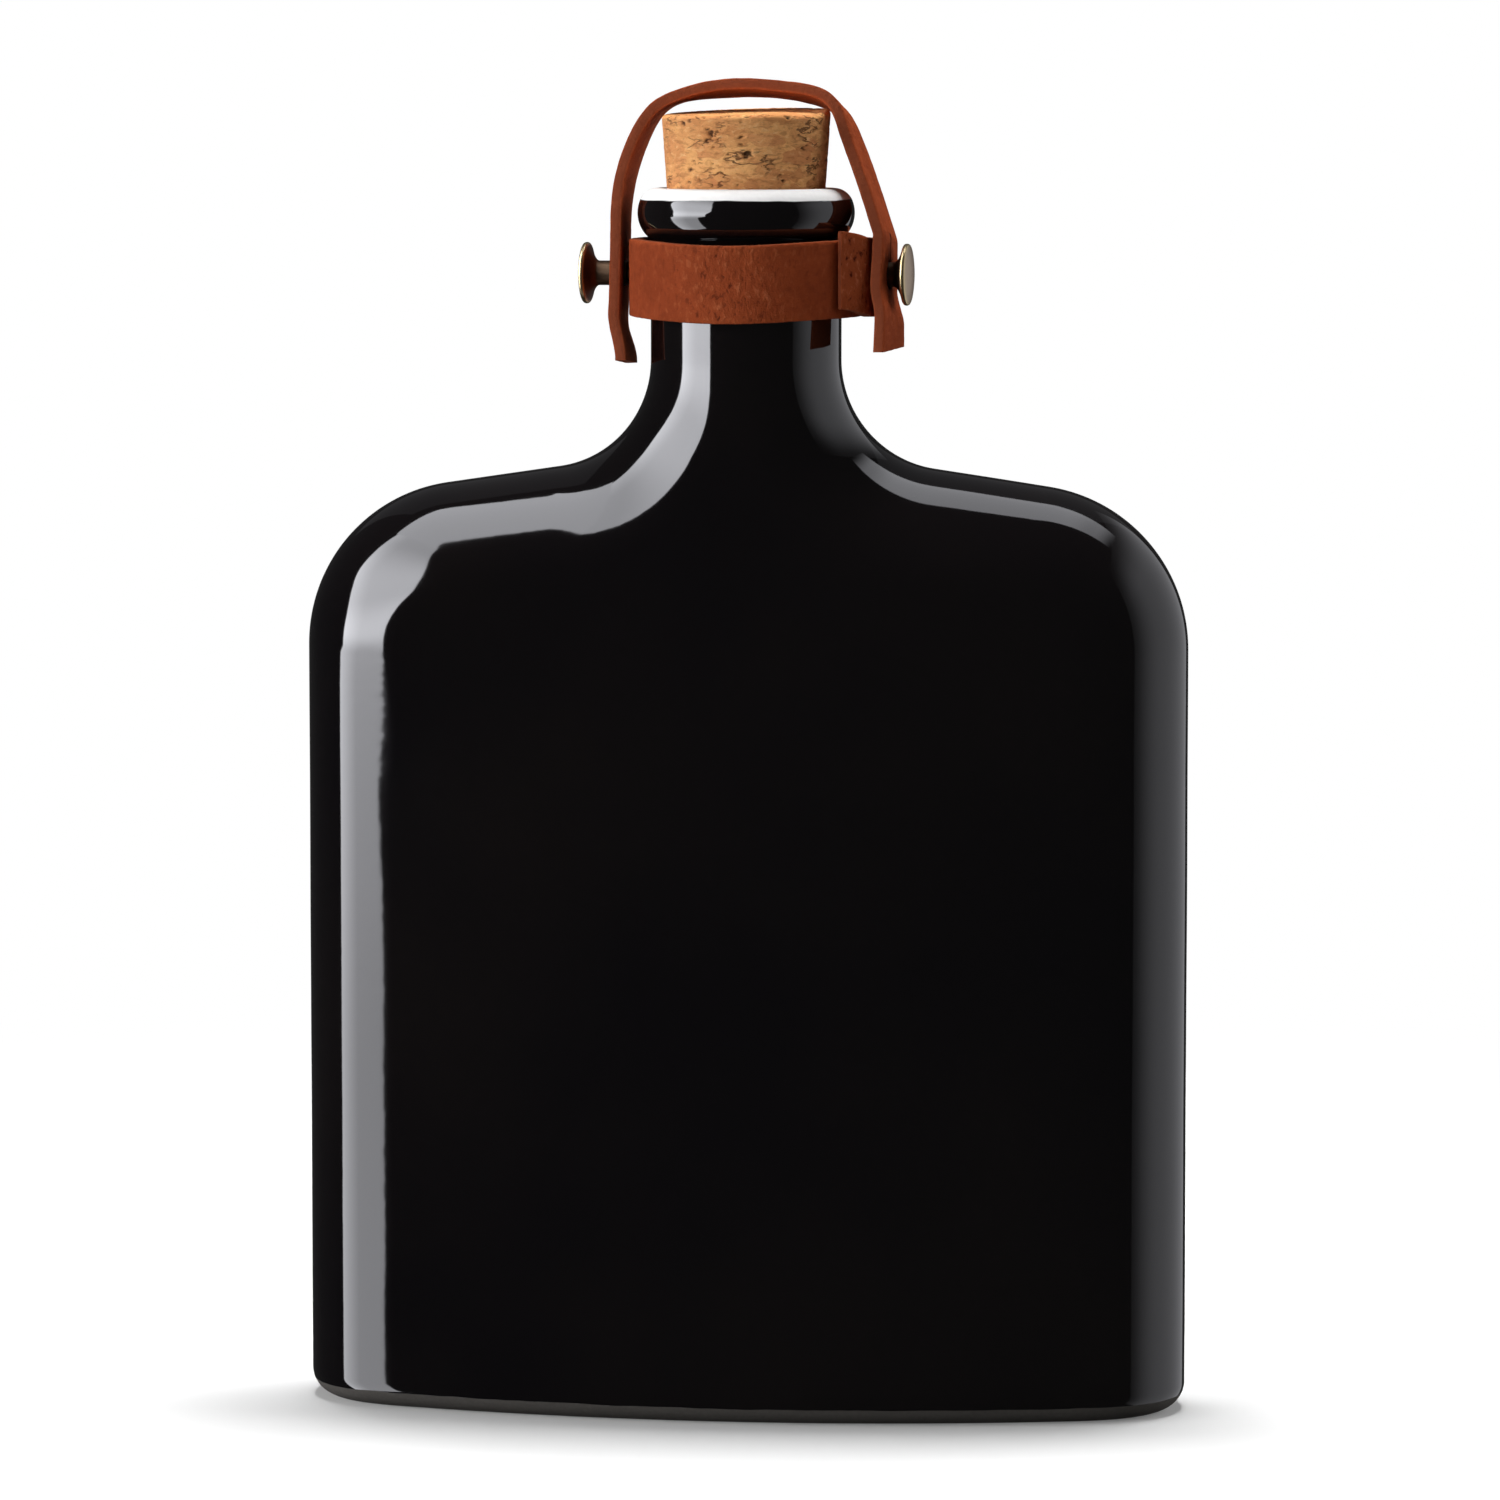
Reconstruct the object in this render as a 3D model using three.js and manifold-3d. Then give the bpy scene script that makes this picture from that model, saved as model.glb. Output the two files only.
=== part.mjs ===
// A ceramic pocket flask whose cork is held down by a leather strap on two brass studs.
// Millimetres, +Z up, front towards -Y. The origin is the middle of the flat base.

import * as THREE from "three";
import { mergeVertices } from "three/addons/utils/BufferGeometryUtils.js";
import Module from "manifold-3d";

const wasm = await Module();
wasm.setup();

// Driving dimensions

const fitGap = 0.3; // between pieces that seat on each other

// Ceramic body
const bodyWidth = 108;
const bodyDepth = 38;
const rimRadius = 13; // roundness of the body's edge, front to back
const baseRound = 4.7;
const shoulderStart = 93; // height where the straight sides end
const cornerRadius = 20;
const shoulderSlope = THREE.MathUtils.degToRad(8.5);
const filletRadius = 13.3; // between shoulder and neck
const crownStart = 45; // height where front and back begin to close towards the shoulder
const faceSoftness = 0.5; // eases the join of face and edge
const wallThickness = 4;
const floorThickness = 4.5;
const floorRound = 3;

// Neck and lip
const neckRadius = 11.6;
const neckWall = 1.65; // at the mouth
const neckLength = 20.8; // from the end of the fillet to the top of the lip
const lipOverhang = 1.6;
const beadRadius = 4;
const beadDrop = 3; // the bead's widest line below the lip's top
const mouthRound = 0.7;

// Cork
const corkLength = 23.5;
const corkShowing = 9;
const corkTaper = 0.07; // radius lost per millimetre of depth
const corkEdge = 0.5;

// Leather collar
const leatherWidth = 9.4;
const collarThickness = 1.7;
const collarGap = 0.95; // room round the neck for the screw heads
const collarDrop = 6.1; // the collar's top edge below the lip's top
const collarTurn = THREE.MathUtils.degToRad(-4.5);
const overlapFront = 29; // degrees that the outer end runs past the right stud
const overlapBack = 32; // degrees behind the right stud where the inner end starts
const overlapRamp = 60; // degrees over which the leather climbs onto its own end

// Leather strap over the cork
const strapThickness = 1.4;
const strapLean = THREE.MathUtils.degToRad(8.8); // rests leaning to the back
const corkRimGap = 0.25; // between the swinging strap and the cork's edge
const crownPast = THREE.MathUtils.degToRad(0.7); // how far the crown's arc runs on past the cork's edge
const legMargin = 0.2; // the legs stay straight this far past the collar's edges
const legLean = 0.34; // how far the right leg leans in above that, per millimetre
const leanRun = 2.9; // length of the leaning stretch's handle
const archClimb = 7.3; // length of the left leg's handle above the collar
const archEase = 2.3; // length of the handles beside the crown
const tailLeft = 6.3; // below the collar's lower edge
const tailRight = 4.9;
const tailTuck = 0.7; // left tail's end drawn in
const tailSpread = 0.7; // right tail's end let out
const slitLength = 5;
const slitWidth = 0.5;

// Brass studs and their screws
const studRise = 0.4; // above the collar's middle
const stemRadius = 1.5;
const headRadius = 3.75;
const headEdge = 0.6;
const headBevel = 0.2;
const headDome = 0.4;
const flareLength = 1.3;
const screwRadius = 0.75;
const screwHeadRadius = 2.75;
const screwHeadThickness = 0.8;
const screwGrip = 3; // thread inside the stud
const screwSlotWidth = 0.5;
const screwSlotDepth = 0.35;

// Facets
const bodySides = 40;
const roundSides = 32;
const smallSides = 24;
const outerSteps = { foot: 4, side: 6, corner: 7, fillet: 7 };
const innerSteps = { foot: 3, side: 5, corner: 5, fillet: 5 };
const beadSteps = 7;
const mouthSteps = 3;
const edgeSteps = 2;
const collarSteps = 84;
const strapSteps = 72;
const flareSteps = 6;
const domeSteps = 4;
const ringReach = 0.35; // share of a body ring's run that goes square to the outline
const weldDistance = 1e-4;
const nearZero = 1e-9;

// Places that follow from the sizes

const outer = outline(bodyWidth / 2, cornerRadius, filletRadius, neckRadius);
const lipTop = outer.neckStart + neckLength;
const lipRadius = neckRadius + lipOverhang;
const beadHeight = lipTop - beadDrop;

const mouthRadius = neckRadius - neckWall;
const corkLipRadius = mouthRadius - fitGap;
const corkTop = lipTop + corkShowing;
const corkBottom = corkTop - corkLength;
const corkRadius = (z) => corkLipRadius + corkTaper * (z - lipTop);
const boreRadius = corkRadius(corkBottom) + fitGap;
const inner = outline(bodyWidth / 2 - wallThickness, cornerRadius - wallThickness,
  filletRadius + wallThickness, boreRadius);

const collarTop = lipTop - collarDrop;
const collarBottom = collarTop - leatherWidth;
const collarInner = neckRadius + collarGap;
const collarOuter = collarInner + collarThickness;
const overlapLift = collarThickness + fitGap;
const studHeight = (collarTop + collarBottom) / 2 + studRise;

const legAbove = collarTop - studHeight + legMargin;
const legBelow = studHeight - collarBottom + legMargin;
const legLeft = collarOuter + fitGap + strapThickness / 2;
const legRight = legLeft + overlapLift;
const studBase = collarOuter + fitGap;
const flareStart = legRight + strapThickness / 2 + fitGap;
const headBack = flareStart + flareLength;
const headFace = headBack + headEdge;
const holeRadius = stemRadius + fitGap;

// Closed solids

function solidOf(geometry) {
  const bare = geometry.clone();
  bare.deleteAttribute("normal");
  bare.deleteAttribute("uv");
  const merged = mergeVertices(bare, weldDistance);
  const vertProperties = new Float32Array(merged.attributes.position.array);
  const triVerts = new Uint32Array(merged.index.array);
  return new wasm.Manifold(new wasm.Mesh({ numProp: 3, vertProperties, triVerts }));
}

function cut(geometry, tools) {
  let solid = solidOf(geometry);
  for (const tool of tools) solid = solid.subtract(solidOf(tool));
  const mesh = solid.getMesh();
  const result = new THREE.BufferGeometry();
  result.setAttribute("position", new THREE.BufferAttribute(new Float32Array(mesh.vertProperties), 3));
  result.setIndex(new THREE.BufferAttribute(new Uint32Array(mesh.triVerts), 1));
  result.computeVertexNormals();
  return result;
}

// A round piece along +X, from points of (radius, distance along X)
function turnedAlongX(points, sides) {
  return new THREE.LatheGeometry(points, sides).rotateZ(-Math.PI / 2);
}

function rodAlongX(radius, from, to, sides = smallSides) {
  const length = to - from;
  return new THREE.CylinderGeometry(radius, radius, length, sides).rotateZ(-Math.PI / 2)
    .translate((from + to) / 2, 0, 0);
}

function blockBetween(low, high) {
  const size = new THREE.Vector3().subVectors(high, low);
  const middle = new THREE.Vector3().addVectors(low, high).multiplyScalar(0.5);
  return new THREE.BoxGeometry(size.x, size.y, size.z).translate(middle.x, middle.y, middle.z);
}

// Flask body: its front outline, with a round edge that follows the outline and a crown between

// The outline's right half: side, shoulder corner, sloping shoulder, fillet, neck
function outline(halfWidth, corner, fillet, neck) {
  const cornerCentre = new THREE.Vector2(halfWidth - corner, shoulderStart);
  const slopeNormal = new THREE.Vector2(Math.sin(shoulderSlope), Math.cos(shoulderSlope));
  const slopeLow = cornerCentre.clone().addScaledVector(slopeNormal, corner);
  const slopeHighX = neck + fillet - fillet * slopeNormal.x;
  const slopeHighZ = slopeLow.y + (slopeLow.x - slopeHighX) * Math.tan(shoulderSlope);
  const neckStart = slopeHighZ + fillet * slopeNormal.y;
  const filletCentre = new THREE.Vector2(neck + fillet, neckStart);
  return { halfWidth, corner, fillet, neck, cornerCentre, slopeNormal, slopeLow, slopeHighX, neckStart, filletCentre };
}

// Distance from a point of the front view to the outline, for points inside it
function depthInside(shape, x, z) {
  const fromCorner = new THREE.Vector2(x, z).sub(shape.cornerCentre);
  const fromFillet = new THREE.Vector2(x, z).sub(shape.filletCentre);
  const alongSlope = fromCorner.x * shape.slopeNormal.y - fromCorner.y * shape.slopeNormal.x;
  if (fromFillet.y >= 0) return shape.neck - x;
  let depth = Infinity;
  if (fromCorner.y <= 0) depth = shape.halfWidth - x;
  else if (fromCorner.x > 0 && alongSlope >= 0) depth = shape.corner - fromCorner.length();
  const filletTilt = fromFillet.x * shape.slopeNormal.y - fromFillet.y * shape.slopeNormal.x;
  if (fromFillet.x < 0 && filletTilt <= 0) depth = Math.min(depth, fromFillet.length() - shape.fillet);
  else if (alongSlope < 0) depth = Math.min(depth, shape.corner - fromCorner.dot(shape.slopeNormal));
  return Math.max(depth, 0);
}

// Height of the shoulder's crest over x, with the slope carried on to the middle
function crestHeight(shape, x) {
  if (x < shape.slopeLow.x) return shape.slopeLow.y + (shape.slopeLow.x - x) * Math.tan(shoulderSlope);
  const across = Math.min(x - shape.cornerCentre.x, shape.corner);
  return shape.cornerCentre.y + Math.sqrt(shape.corner ** 2 - across ** 2);
}

// Half thickness of the body at a point of the front view: its round edge, and on it the swell of a face
// whose large arc flows into that edge
function halfThickness(shape, rim, x, z) {
  const blendStart = shape.neckStart - 2 * rimRadius;
  const edge = THREE.MathUtils.lerp(rim, shape.neck, THREE.MathUtils.smoothstep(z, blendStart, shape.neckStart));
  const depth = Math.min(depthInside(shape, x, z), edge);
  const round = Math.sqrt(edge ** 2 - (edge - depth) ** 2);
  const swell = bodyDepth / 2 - rimRadius;
  const faceRadius = ((shape.halfWidth - rim) ** 2 + swell * (swell + 2 * rim)) / (2 * swell);
  const face = swell - x ** 2 / (2 * faceRadius);
  const softFace = (face + Math.sqrt(face ** 2 + faceSoftness ** 2)) / 2;
  const rise = THREE.MathUtils.clamp((z - crownStart) / (crestHeight(shape, x) - crownStart), 0, 1);
  return round + softFace * (1 - rise ** 4) ** 2;
}

// Stations up one outline: a point on the edge, its outward normal, and the height of the ring's middle
function stationsUp(shape, lowest, counts) {
  const stations = [];
  const add = (x, z, nx, nz) => stations.push({ x, z, nx, nz });
  for (let i = 0; i < counts.side; i++) {
    add(shape.halfWidth, THREE.MathUtils.lerp(lowest, shoulderStart, i / counts.side), 1, 0);
  }
  for (let i = 0; i <= counts.corner; i++) {
    const turn = (Math.PI / 2 - shoulderSlope) * (i / counts.corner);
    const nx = Math.cos(turn);
    const nz = Math.sin(turn);
    add(shape.cornerCentre.x + shape.corner * nx, shape.cornerCentre.y + shape.corner * nz, nx, nz);
  }
  for (let i = 0; i <= counts.fillet; i++) {
    const tilt = THREE.MathUtils.lerp(shoulderSlope, Math.PI / 2, i / counts.fillet);
    const nx = Math.sin(tilt);
    const nz = Math.cos(tilt);
    add(shape.filletCentre.x - shape.fillet * nx, shape.filletCentre.y - shape.fillet * nz, nx, nz);
  }
  // Rings start level on the side and end level on the neck; between, their middles share the climb evenly
  const bendStart = Math.max(crownStart, lowest);
  let run = 0;
  stations.forEach((station, i) => {
    const last = stations[i - 1];
    if (last && station.z > bendStart) run += Math.hypot(station.x - last.x, station.z - Math.max(last.z, bendStart));
    station.run = run;
  });
  const climb = shape.neckStart - bendStart;
  for (const station of stations) {
    const t = station.run / run;
    const level = run / climb;
    const share = level * (t - 3 * t ** 2 + 2 * t ** 3) + 3 * t ** 2 - 2 * t ** 3;
    station.middle = station.z <= bendStart ? station.z : bendStart + climb * share;
  }
  return stations;
}

// One ring of the body: from the edge straight inwards, then level to the middle, on both sides and faces
function bodyRing(shape, rim, station) {
  const reach = ringReach * Math.hypot(station.x, station.z - station.middle);
  const path = new THREE.CubicBezierCurve(
    new THREE.Vector2(station.x, station.z),
    new THREE.Vector2(station.x - reach * station.nx, station.z - reach * station.nz),
    new THREE.Vector2(station.x / 3, station.middle),
    new THREE.Vector2(0, station.middle));
  const level = station.z === station.middle;
  return ringOf((across) => {
    const point = level ? new THREE.Vector2(station.x * (1 - across), station.z) : path.getPoint(across);
    return [point.x, halfThickness(shape, rim, point.x, point.y), point.y];
  });
}

// A ring whose quarter is given from the edge, 0, to the middle, 1
function ringOf(quarter) {
  const ring = [];
  for (let i = 0; i < bodySides; i++) {
    const turn = (2 * Math.PI * i) / bodySides;
    const [x, y, z] = quarter(1 - Math.abs(Math.cos(turn)));
    const side = Math.abs(Math.cos(turn)) < nearZero ? 0 : Math.sign(Math.cos(turn));
    const face = Math.abs(Math.sin(turn)) < nearZero ? 0 : Math.sign(Math.sin(turn));
    ring.push(new THREE.Vector3(side * x, face * y, z));
  }
  return ring;
}

function roundRing(radius, z) {
  return ringOf((across) => [radius * (1 - across), radius * Math.sqrt(1 - (1 - across) ** 2), z]);
}

// A flat-bottomed foot: the section drawn in along a quarter round
function footRings(shape, rim, round, floor, steps) {
  const rings = [];
  for (let i = 0; i < steps; i++) {
    const turn = (Math.PI / 2) * (i / steps);
    const inset = round * (1 - Math.sin(turn));
    const z = floor + round * (1 - Math.cos(turn));
    const foot = { ...shape, halfWidth: shape.halfWidth - inset };
    rings.push(bodyRing(foot, rim - inset, { x: foot.halfWidth, z, nx: 1, nz: 0, middle: z }));
  }
  return rings;
}

function lipRings() {
  const rings = [];
  const centre = lipRadius - beadRadius;
  const meetsNeck = -Math.acos((neckRadius - centre) / beadRadius);
  const meetsTop = Math.asin(beadDrop / beadRadius);
  for (let i = 0; i <= beadSteps; i++) {
    const turn = THREE.MathUtils.lerp(meetsNeck, meetsTop, i / beadSteps);
    rings.push(roundRing(centre + beadRadius * Math.cos(turn), beadHeight + beadRadius * Math.sin(turn)));
  }
  for (let i = 0; i <= mouthSteps; i++) {
    const turn = (Math.PI / 2) * (i / mouthSteps);
    const radius = mouthRadius + mouthRound * (1 - Math.sin(turn));
    rings.push(roundRing(radius, lipTop - mouthRound * (1 - Math.cos(turn))));
  }
  rings.push(roundRing(boreRadius, corkBottom));
  return rings;
}

function flaskGeometry() {
  const innerRim = rimRadius - wallThickness;
  const up = [
    ...footRings(outer, rimRadius, baseRound, 0, outerSteps.foot),
    ...stationsUp(outer, baseRound, outerSteps).map((station) => bodyRing(outer, rimRadius, station)),
    ...lipRings(),
  ];
  const down = [
    ...footRings(inner, innerRim, floorRound, floorThickness, innerSteps.foot),
    ...stationsUp(inner, floorThickness + floorRound, innerSteps).map((s) => bodyRing(inner, innerRim, s)),
  ].reverse();
  const rings = [...up, ...down];
  const points = [new THREE.Vector3(0, 0, 0), ...rings.flat(), new THREE.Vector3(0, 0, floorThickness)];
  const at = (ring, side) => 1 + ring * bodySides + (side % bodySides);
  const faces = [];
  for (let side = 0; side < bodySides; side++) {
    faces.push(0, at(0, side + 1), at(0, side));
    for (let ring = 0; ring + 1 < rings.length; ring++) {
      faces.push(at(ring, side), at(ring, side + 1), at(ring + 1, side + 1));
      faces.push(at(ring, side), at(ring + 1, side + 1), at(ring + 1, side));
    }
    faces.push(at(rings.length - 1, side), at(rings.length - 1, side + 1), points.length - 1);
  }
  const geometry = new THREE.BufferGeometry().setFromPoints(points);
  geometry.setIndex(faces);
  geometry.computeVertexNormals();
  return geometry;
}

// Cork: a cone's slice with its edges rounded
function corkGeometry() {
  const profile = [new THREE.Vector2(0, corkBottom)];
  for (const [end, first] of [[corkBottom + corkEdge, -Math.PI / 2], [corkTop - corkEdge, 0]]) {
    for (let i = 0; i <= edgeSteps; i++) {
      const turn = first + (Math.PI / 2) * (i / edgeSteps);
      profile.push(new THREE.Vector2(corkRadius(end) - corkEdge * (1 - Math.cos(turn)), end + corkEdge * Math.sin(turn)));
    }
  }
  profile.push(new THREE.Vector2(0, corkTop));
  return new THREE.LatheGeometry(profile, roundSides).rotateX(Math.PI / 2);
}

// Collar: a strip wound once round the neck and on over its own start, in the frame of the studs
function collarGeometry() {
  const whole = 360 + overlapBack + overlapFront;
  const insideFace = [];
  const outsideFace = [];
  for (let i = 0; i <= collarSteps; i++) {
    const wound = whole * (i / collarSteps);
    const angle = THREE.MathUtils.degToRad(overlapBack - wound);
    const lift = overlapLift * THREE.MathUtils.smoothstep(wound, 360 - overlapRamp, 360);
    const along = new THREE.Vector2(Math.cos(angle), Math.sin(angle));
    insideFace.push(along.clone().multiplyScalar(collarInner + lift));
    outsideFace.push(along.clone().multiplyScalar(collarOuter + lift));
  }
  const strip = new THREE.Shape([...insideFace, ...outsideFace.reverse()]);
  const band = new THREE.ExtrudeGeometry(strip, { depth: leatherWidth, bevelEnabled: false });
  band.translate(0, 0, collarBottom - studHeight);
  const screwHole = screwRadius + fitGap;
  const headSeat = neckRadius + fitGap + screwHeadThickness + fitGap;
  const betweenLayers = collarOuter + fitGap / 2;
  const past = collarOuter + overlapLift + fitGap;
  const tools = [
    rodAlongX(screwHole, neckRadius, betweenLayers),
    rodAlongX(screwHeadRadius + fitGap, neckRadius - fitGap, headSeat),
    rodAlongX(screwHole, -betweenLayers, -neckRadius),
    rodAlongX(screwHeadRadius + fitGap, -headSeat, -neckRadius + fitGap),
    rodAlongX(holeRadius, betweenLayers, past),
    blockBetween(new THREE.Vector3(betweenLayers - fitGap / 2, 0, -slitWidth / 2),
      new THREE.Vector3(past, slitLength, slitWidth / 2)),
  ];
  return cut(band, tools).translate(0, 0, studHeight);
}

// Strap: a strip along an arch over the cork, in its own upright plane, with the studs' line as its base
function strapGeometry() {
  const rimCentre = new THREE.Vector2(corkRadius(corkTop - corkEdge) - corkEdge, corkTop - corkEdge - studHeight);
  const crown = rimCentre.length() + corkEdge + corkRimGap + strapThickness / 2;
  const crownHalfAngle = Math.atan2(rimCentre.x, rimCentre.y) + crownPast;
  const crownCos = Math.cos(crownHalfAngle);
  const crownSin = Math.sin(crownHalfAngle);
  const crownX = crown * crownSin;
  const crownZ = crown * crownCos;
  const tailEndLeft = -legBelow - tailLeft + legMargin;
  const tailEndRight = -legBelow - tailRight + legMargin;
  const tailHandle = (-legBelow - tailEndLeft) / 3;
  const arch = new THREE.Path();
  arch.moveTo(-legLeft + tailTuck, tailEndLeft);
  arch.bezierCurveTo(-legLeft, tailEndLeft + tailHandle, -legLeft, -legBelow - tailHandle, -legLeft, -legBelow);
  arch.lineTo(-legLeft, legAbove);
  arch.bezierCurveTo(-legLeft, legAbove + archClimb, -crownX - archEase * crownCos, crownZ - archEase * crownSin,
    -crownX, crownZ);
  arch.absarc(0, 0, crown, Math.PI / 2 + crownHalfAngle, Math.PI / 2 - crownHalfAngle, true);
  arch.bezierCurveTo(crownX + archEase * crownCos, crownZ - archEase * crownSin,
    legRight - legLean * leanRun, legAbove + leanRun, legRight, legAbove);
  arch.lineTo(legRight, -legBelow);
  arch.lineTo(legRight + tailSpread, tailEndRight);
  const above = [];
  const below = [];
  for (let i = 0; i <= strapSteps; i++) {
    const point = arch.getPointAt(i / strapSteps);
    const along = arch.getTangentAt(i / strapSteps);
    const across = new THREE.Vector2(-along.y, along.x).multiplyScalar(strapThickness / 2);
    above.push(point.clone().add(across));
    below.push(point.clone().sub(across));
  }
  const strip = new THREE.Shape([...below, ...above.reverse()]);
  const band = new THREE.ExtrudeGeometry(strip, { depth: leatherWidth, bevelEnabled: false });
  band.rotateX(Math.PI / 2).translate(0, leatherWidth / 2, 0);
  const nearest = legLeft - strapThickness;
  const furthest = legRight + 2 * strapThickness;
  const slit = (from, to) => blockBetween(
    new THREE.Vector3(from, -slitWidth / 2, 0), new THREE.Vector3(to, slitWidth / 2, slitLength));
  return cut(band, [
    rodAlongX(holeRadius, -furthest, -nearest), slit(-furthest, -nearest),
    rodAlongX(holeRadius, nearest, furthest), slit(nearest, furthest),
  ]);
}

// Stud: a stem that flares like a trumpet into a slightly domed head, drilled for its screw
function studGeometry() {
  const points = [new THREE.Vector2(0, studBase), new THREE.Vector2(stemRadius, studBase)];
  for (let i = 0; i <= flareSteps; i++) {
    const turn = (Math.PI / 2) * (i / flareSteps);
    const radius = stemRadius + (headRadius - headBevel - stemRadius) * (1 - Math.cos(turn));
    points.push(new THREE.Vector2(radius, flareStart + flareLength * Math.sin(turn)));
  }
  points.push(new THREE.Vector2(headRadius, headBack + headBevel));
  points.push(new THREE.Vector2(headRadius, headFace - headBevel));
  for (let i = 0; i <= domeSteps; i++) {
    const radius = (headRadius - headBevel) * (1 - i / domeSteps);
    const rise = headDome * (1 - (1 - i / domeSteps) ** 2);
    points.push(new THREE.Vector2(radius, headFace + rise));
  }
  const body = turnedAlongX(points, smallSides);
  return cut(body, [rodAlongX(screwRadius + fitGap, studBase - fitGap, studBase + screwGrip + fitGap)]);
}

// Screw: a flat slotted head inside the collar and a plain shank into the stud
function screwGeometry() {
  const headIn = neckRadius + fitGap;
  const headOut = headIn + screwHeadThickness;
  const points = [
    [0, headIn], [screwHeadRadius, headIn], [screwHeadRadius, headOut],
    [screwRadius, headOut], [screwRadius, studBase + screwGrip], [0, studBase + screwGrip],
  ].map(([radius, x]) => new THREE.Vector2(radius, x));
  const slot = blockBetween(
    new THREE.Vector3(headIn - fitGap, -2 * screwHeadRadius, -screwSlotWidth / 2),
    new THREE.Vector3(headIn + screwSlotDepth, 2 * screwHeadRadius, screwSlotWidth / 2));
  return cut(turnedAlongX(points, smallSides), [slot]);
}

// Finishes

const glaze = new THREE.MeshStandardMaterial({ color: 0x0b090b, roughness: 0.12, metalness: 0 });
const corkFinish = new THREE.MeshStandardMaterial({ color: 0xd2a56c, roughness: 0.9, metalness: 0 });
const leather = new THREE.MeshStandardMaterial({ color: 0x8a4227, roughness: 0.6, metalness: 0 });
const agedBrass = new THREE.MeshStandardMaterial({ color: 0x8c7a55, roughness: 0.35, metalness: 1 });

// Assembly

function piece(name, geometry, material) {
  const mesh = new THREE.Mesh(geometry, material);
  mesh.name = name;
  return mesh;
}

const flask = new THREE.Group();
flask.add(piece("flask_body", flaskGeometry(), glaze));
flask.add(piece("cork_stopper", corkGeometry(), corkFinish));

const collar = new THREE.Group();
collar.rotation.z = collarTurn;
collar.add(piece("neck_collar", collarGeometry(), leather));
flask.add(collar);

for (const [side, turn] of [["right", 0], ["left", Math.PI]]) {
  const stud = new THREE.Group();
  stud.position.z = studHeight;
  stud.rotation.z = turn;
  stud.add(piece(`stud_${side}`, studGeometry(), agedBrass));
  stud.add(piece(`stud_screw_${side}`, screwGeometry(), agedBrass));
  collar.add(stud);
}

const strap = new THREE.Group();
strap.position.z = studHeight;
strap.rotation.x = -strapLean;
strap.add(piece("stopper_strap", strapGeometry(), leather));
collar.add(strap);

export default flask;
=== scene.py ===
# %% [markdown]
# # A ceramic flask with a strapped cork
# A flat, black-glazed flask: one hollow casting, a tapered cork, and two strips of red-brown leather that are
# buttoned on a pair of brass studs. The frame below holds the measured solids, with their joints. This lesson
# builds the fine surface of each piece around them, in the same place, and then paints, lights and frames it.

# %% Load the frame
import math

import bmesh
import bpy
import numpy as np
from mathutils import Matrix, Vector


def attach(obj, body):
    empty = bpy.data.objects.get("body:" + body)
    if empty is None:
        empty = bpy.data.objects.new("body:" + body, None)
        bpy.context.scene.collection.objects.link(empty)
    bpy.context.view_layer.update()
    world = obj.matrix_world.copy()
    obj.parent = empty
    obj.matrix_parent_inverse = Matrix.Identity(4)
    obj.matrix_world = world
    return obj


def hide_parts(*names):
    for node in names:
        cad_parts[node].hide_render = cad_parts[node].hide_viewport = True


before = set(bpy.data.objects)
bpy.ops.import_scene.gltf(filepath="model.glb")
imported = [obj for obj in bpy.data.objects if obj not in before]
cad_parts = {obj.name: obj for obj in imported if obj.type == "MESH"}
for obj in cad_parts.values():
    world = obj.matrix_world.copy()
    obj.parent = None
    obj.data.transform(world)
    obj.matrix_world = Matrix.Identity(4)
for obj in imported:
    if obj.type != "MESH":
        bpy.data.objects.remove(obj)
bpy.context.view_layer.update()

MM = 0.001  # sizes are written in millimetres, and Blender works in metres
print("solids in the frame:", sorted(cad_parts))

# %% [markdown]
# ## The camera
# The flask was seen from a little right of its middle and a little above its cork, through a long lens, which
# keeps its sides parallel. A long lens needs a camera that stands well back.

# %% Camera
VIEW_TURN = math.radians(7.13)  # round the flask, towards its right side
VIEW_DROP = math.radians(5.48)
VIEW_DISTANCE, VIEW_HEIGHT = 900, 166.6
SENSOR_WIDTH, LENS, SIDE_SHIFT = 36, 177.4, 0.0025

camera = bpy.data.objects.new("camera", bpy.data.cameras.new("camera"))
bpy.context.scene.collection.objects.link(camera)
bpy.context.scene.camera = camera
camera.data.sensor_width, camera.data.lens, camera.data.shift_x = SENSOR_WIDTH, LENS, SIDE_SHIFT
camera.data.clip_start, camera.data.clip_end = 0.05, 50
camera.location = Vector((VIEW_DISTANCE * math.sin(VIEW_TURN), -VIEW_DISTANCE * math.cos(VIEW_TURN), VIEW_HEIGHT)) * MM
looking = Vector((-math.sin(VIEW_TURN) * math.cos(VIEW_DROP), math.cos(VIEW_TURN) * math.cos(VIEW_DROP),
                  -math.sin(VIEW_DROP)))
camera.rotation_euler = looking.to_track_quat("-Z", "Y").to_euler()
print("camera at", [round(c, 3) for c in camera.location])

# %% [markdown]
# ## Formulas as nodes
# Shapes and finishes below follow rules, and in Blender a rule is a node tree. Wiring dozens of Math nodes by hand
# is hard to read, so a small class lets a node's output stand in an ordinary formula: every plus or times adds one
# node and its links. The same class serves geometry and materials, because both kinds of tree have the Math node.

# %% Nodes written as formulas
def plug(tree, socket, value):
    """Links a field, a node's first output or any output to a socket, or sets the socket's own value."""
    value = getattr(value, "socket", value)
    if isinstance(value, bpy.types.Node):
        value = value.outputs[0]
    if isinstance(value, bpy.types.NodeSocket):
        tree.links.new(value, socket)
    else:
        socket.default_value = value


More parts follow.
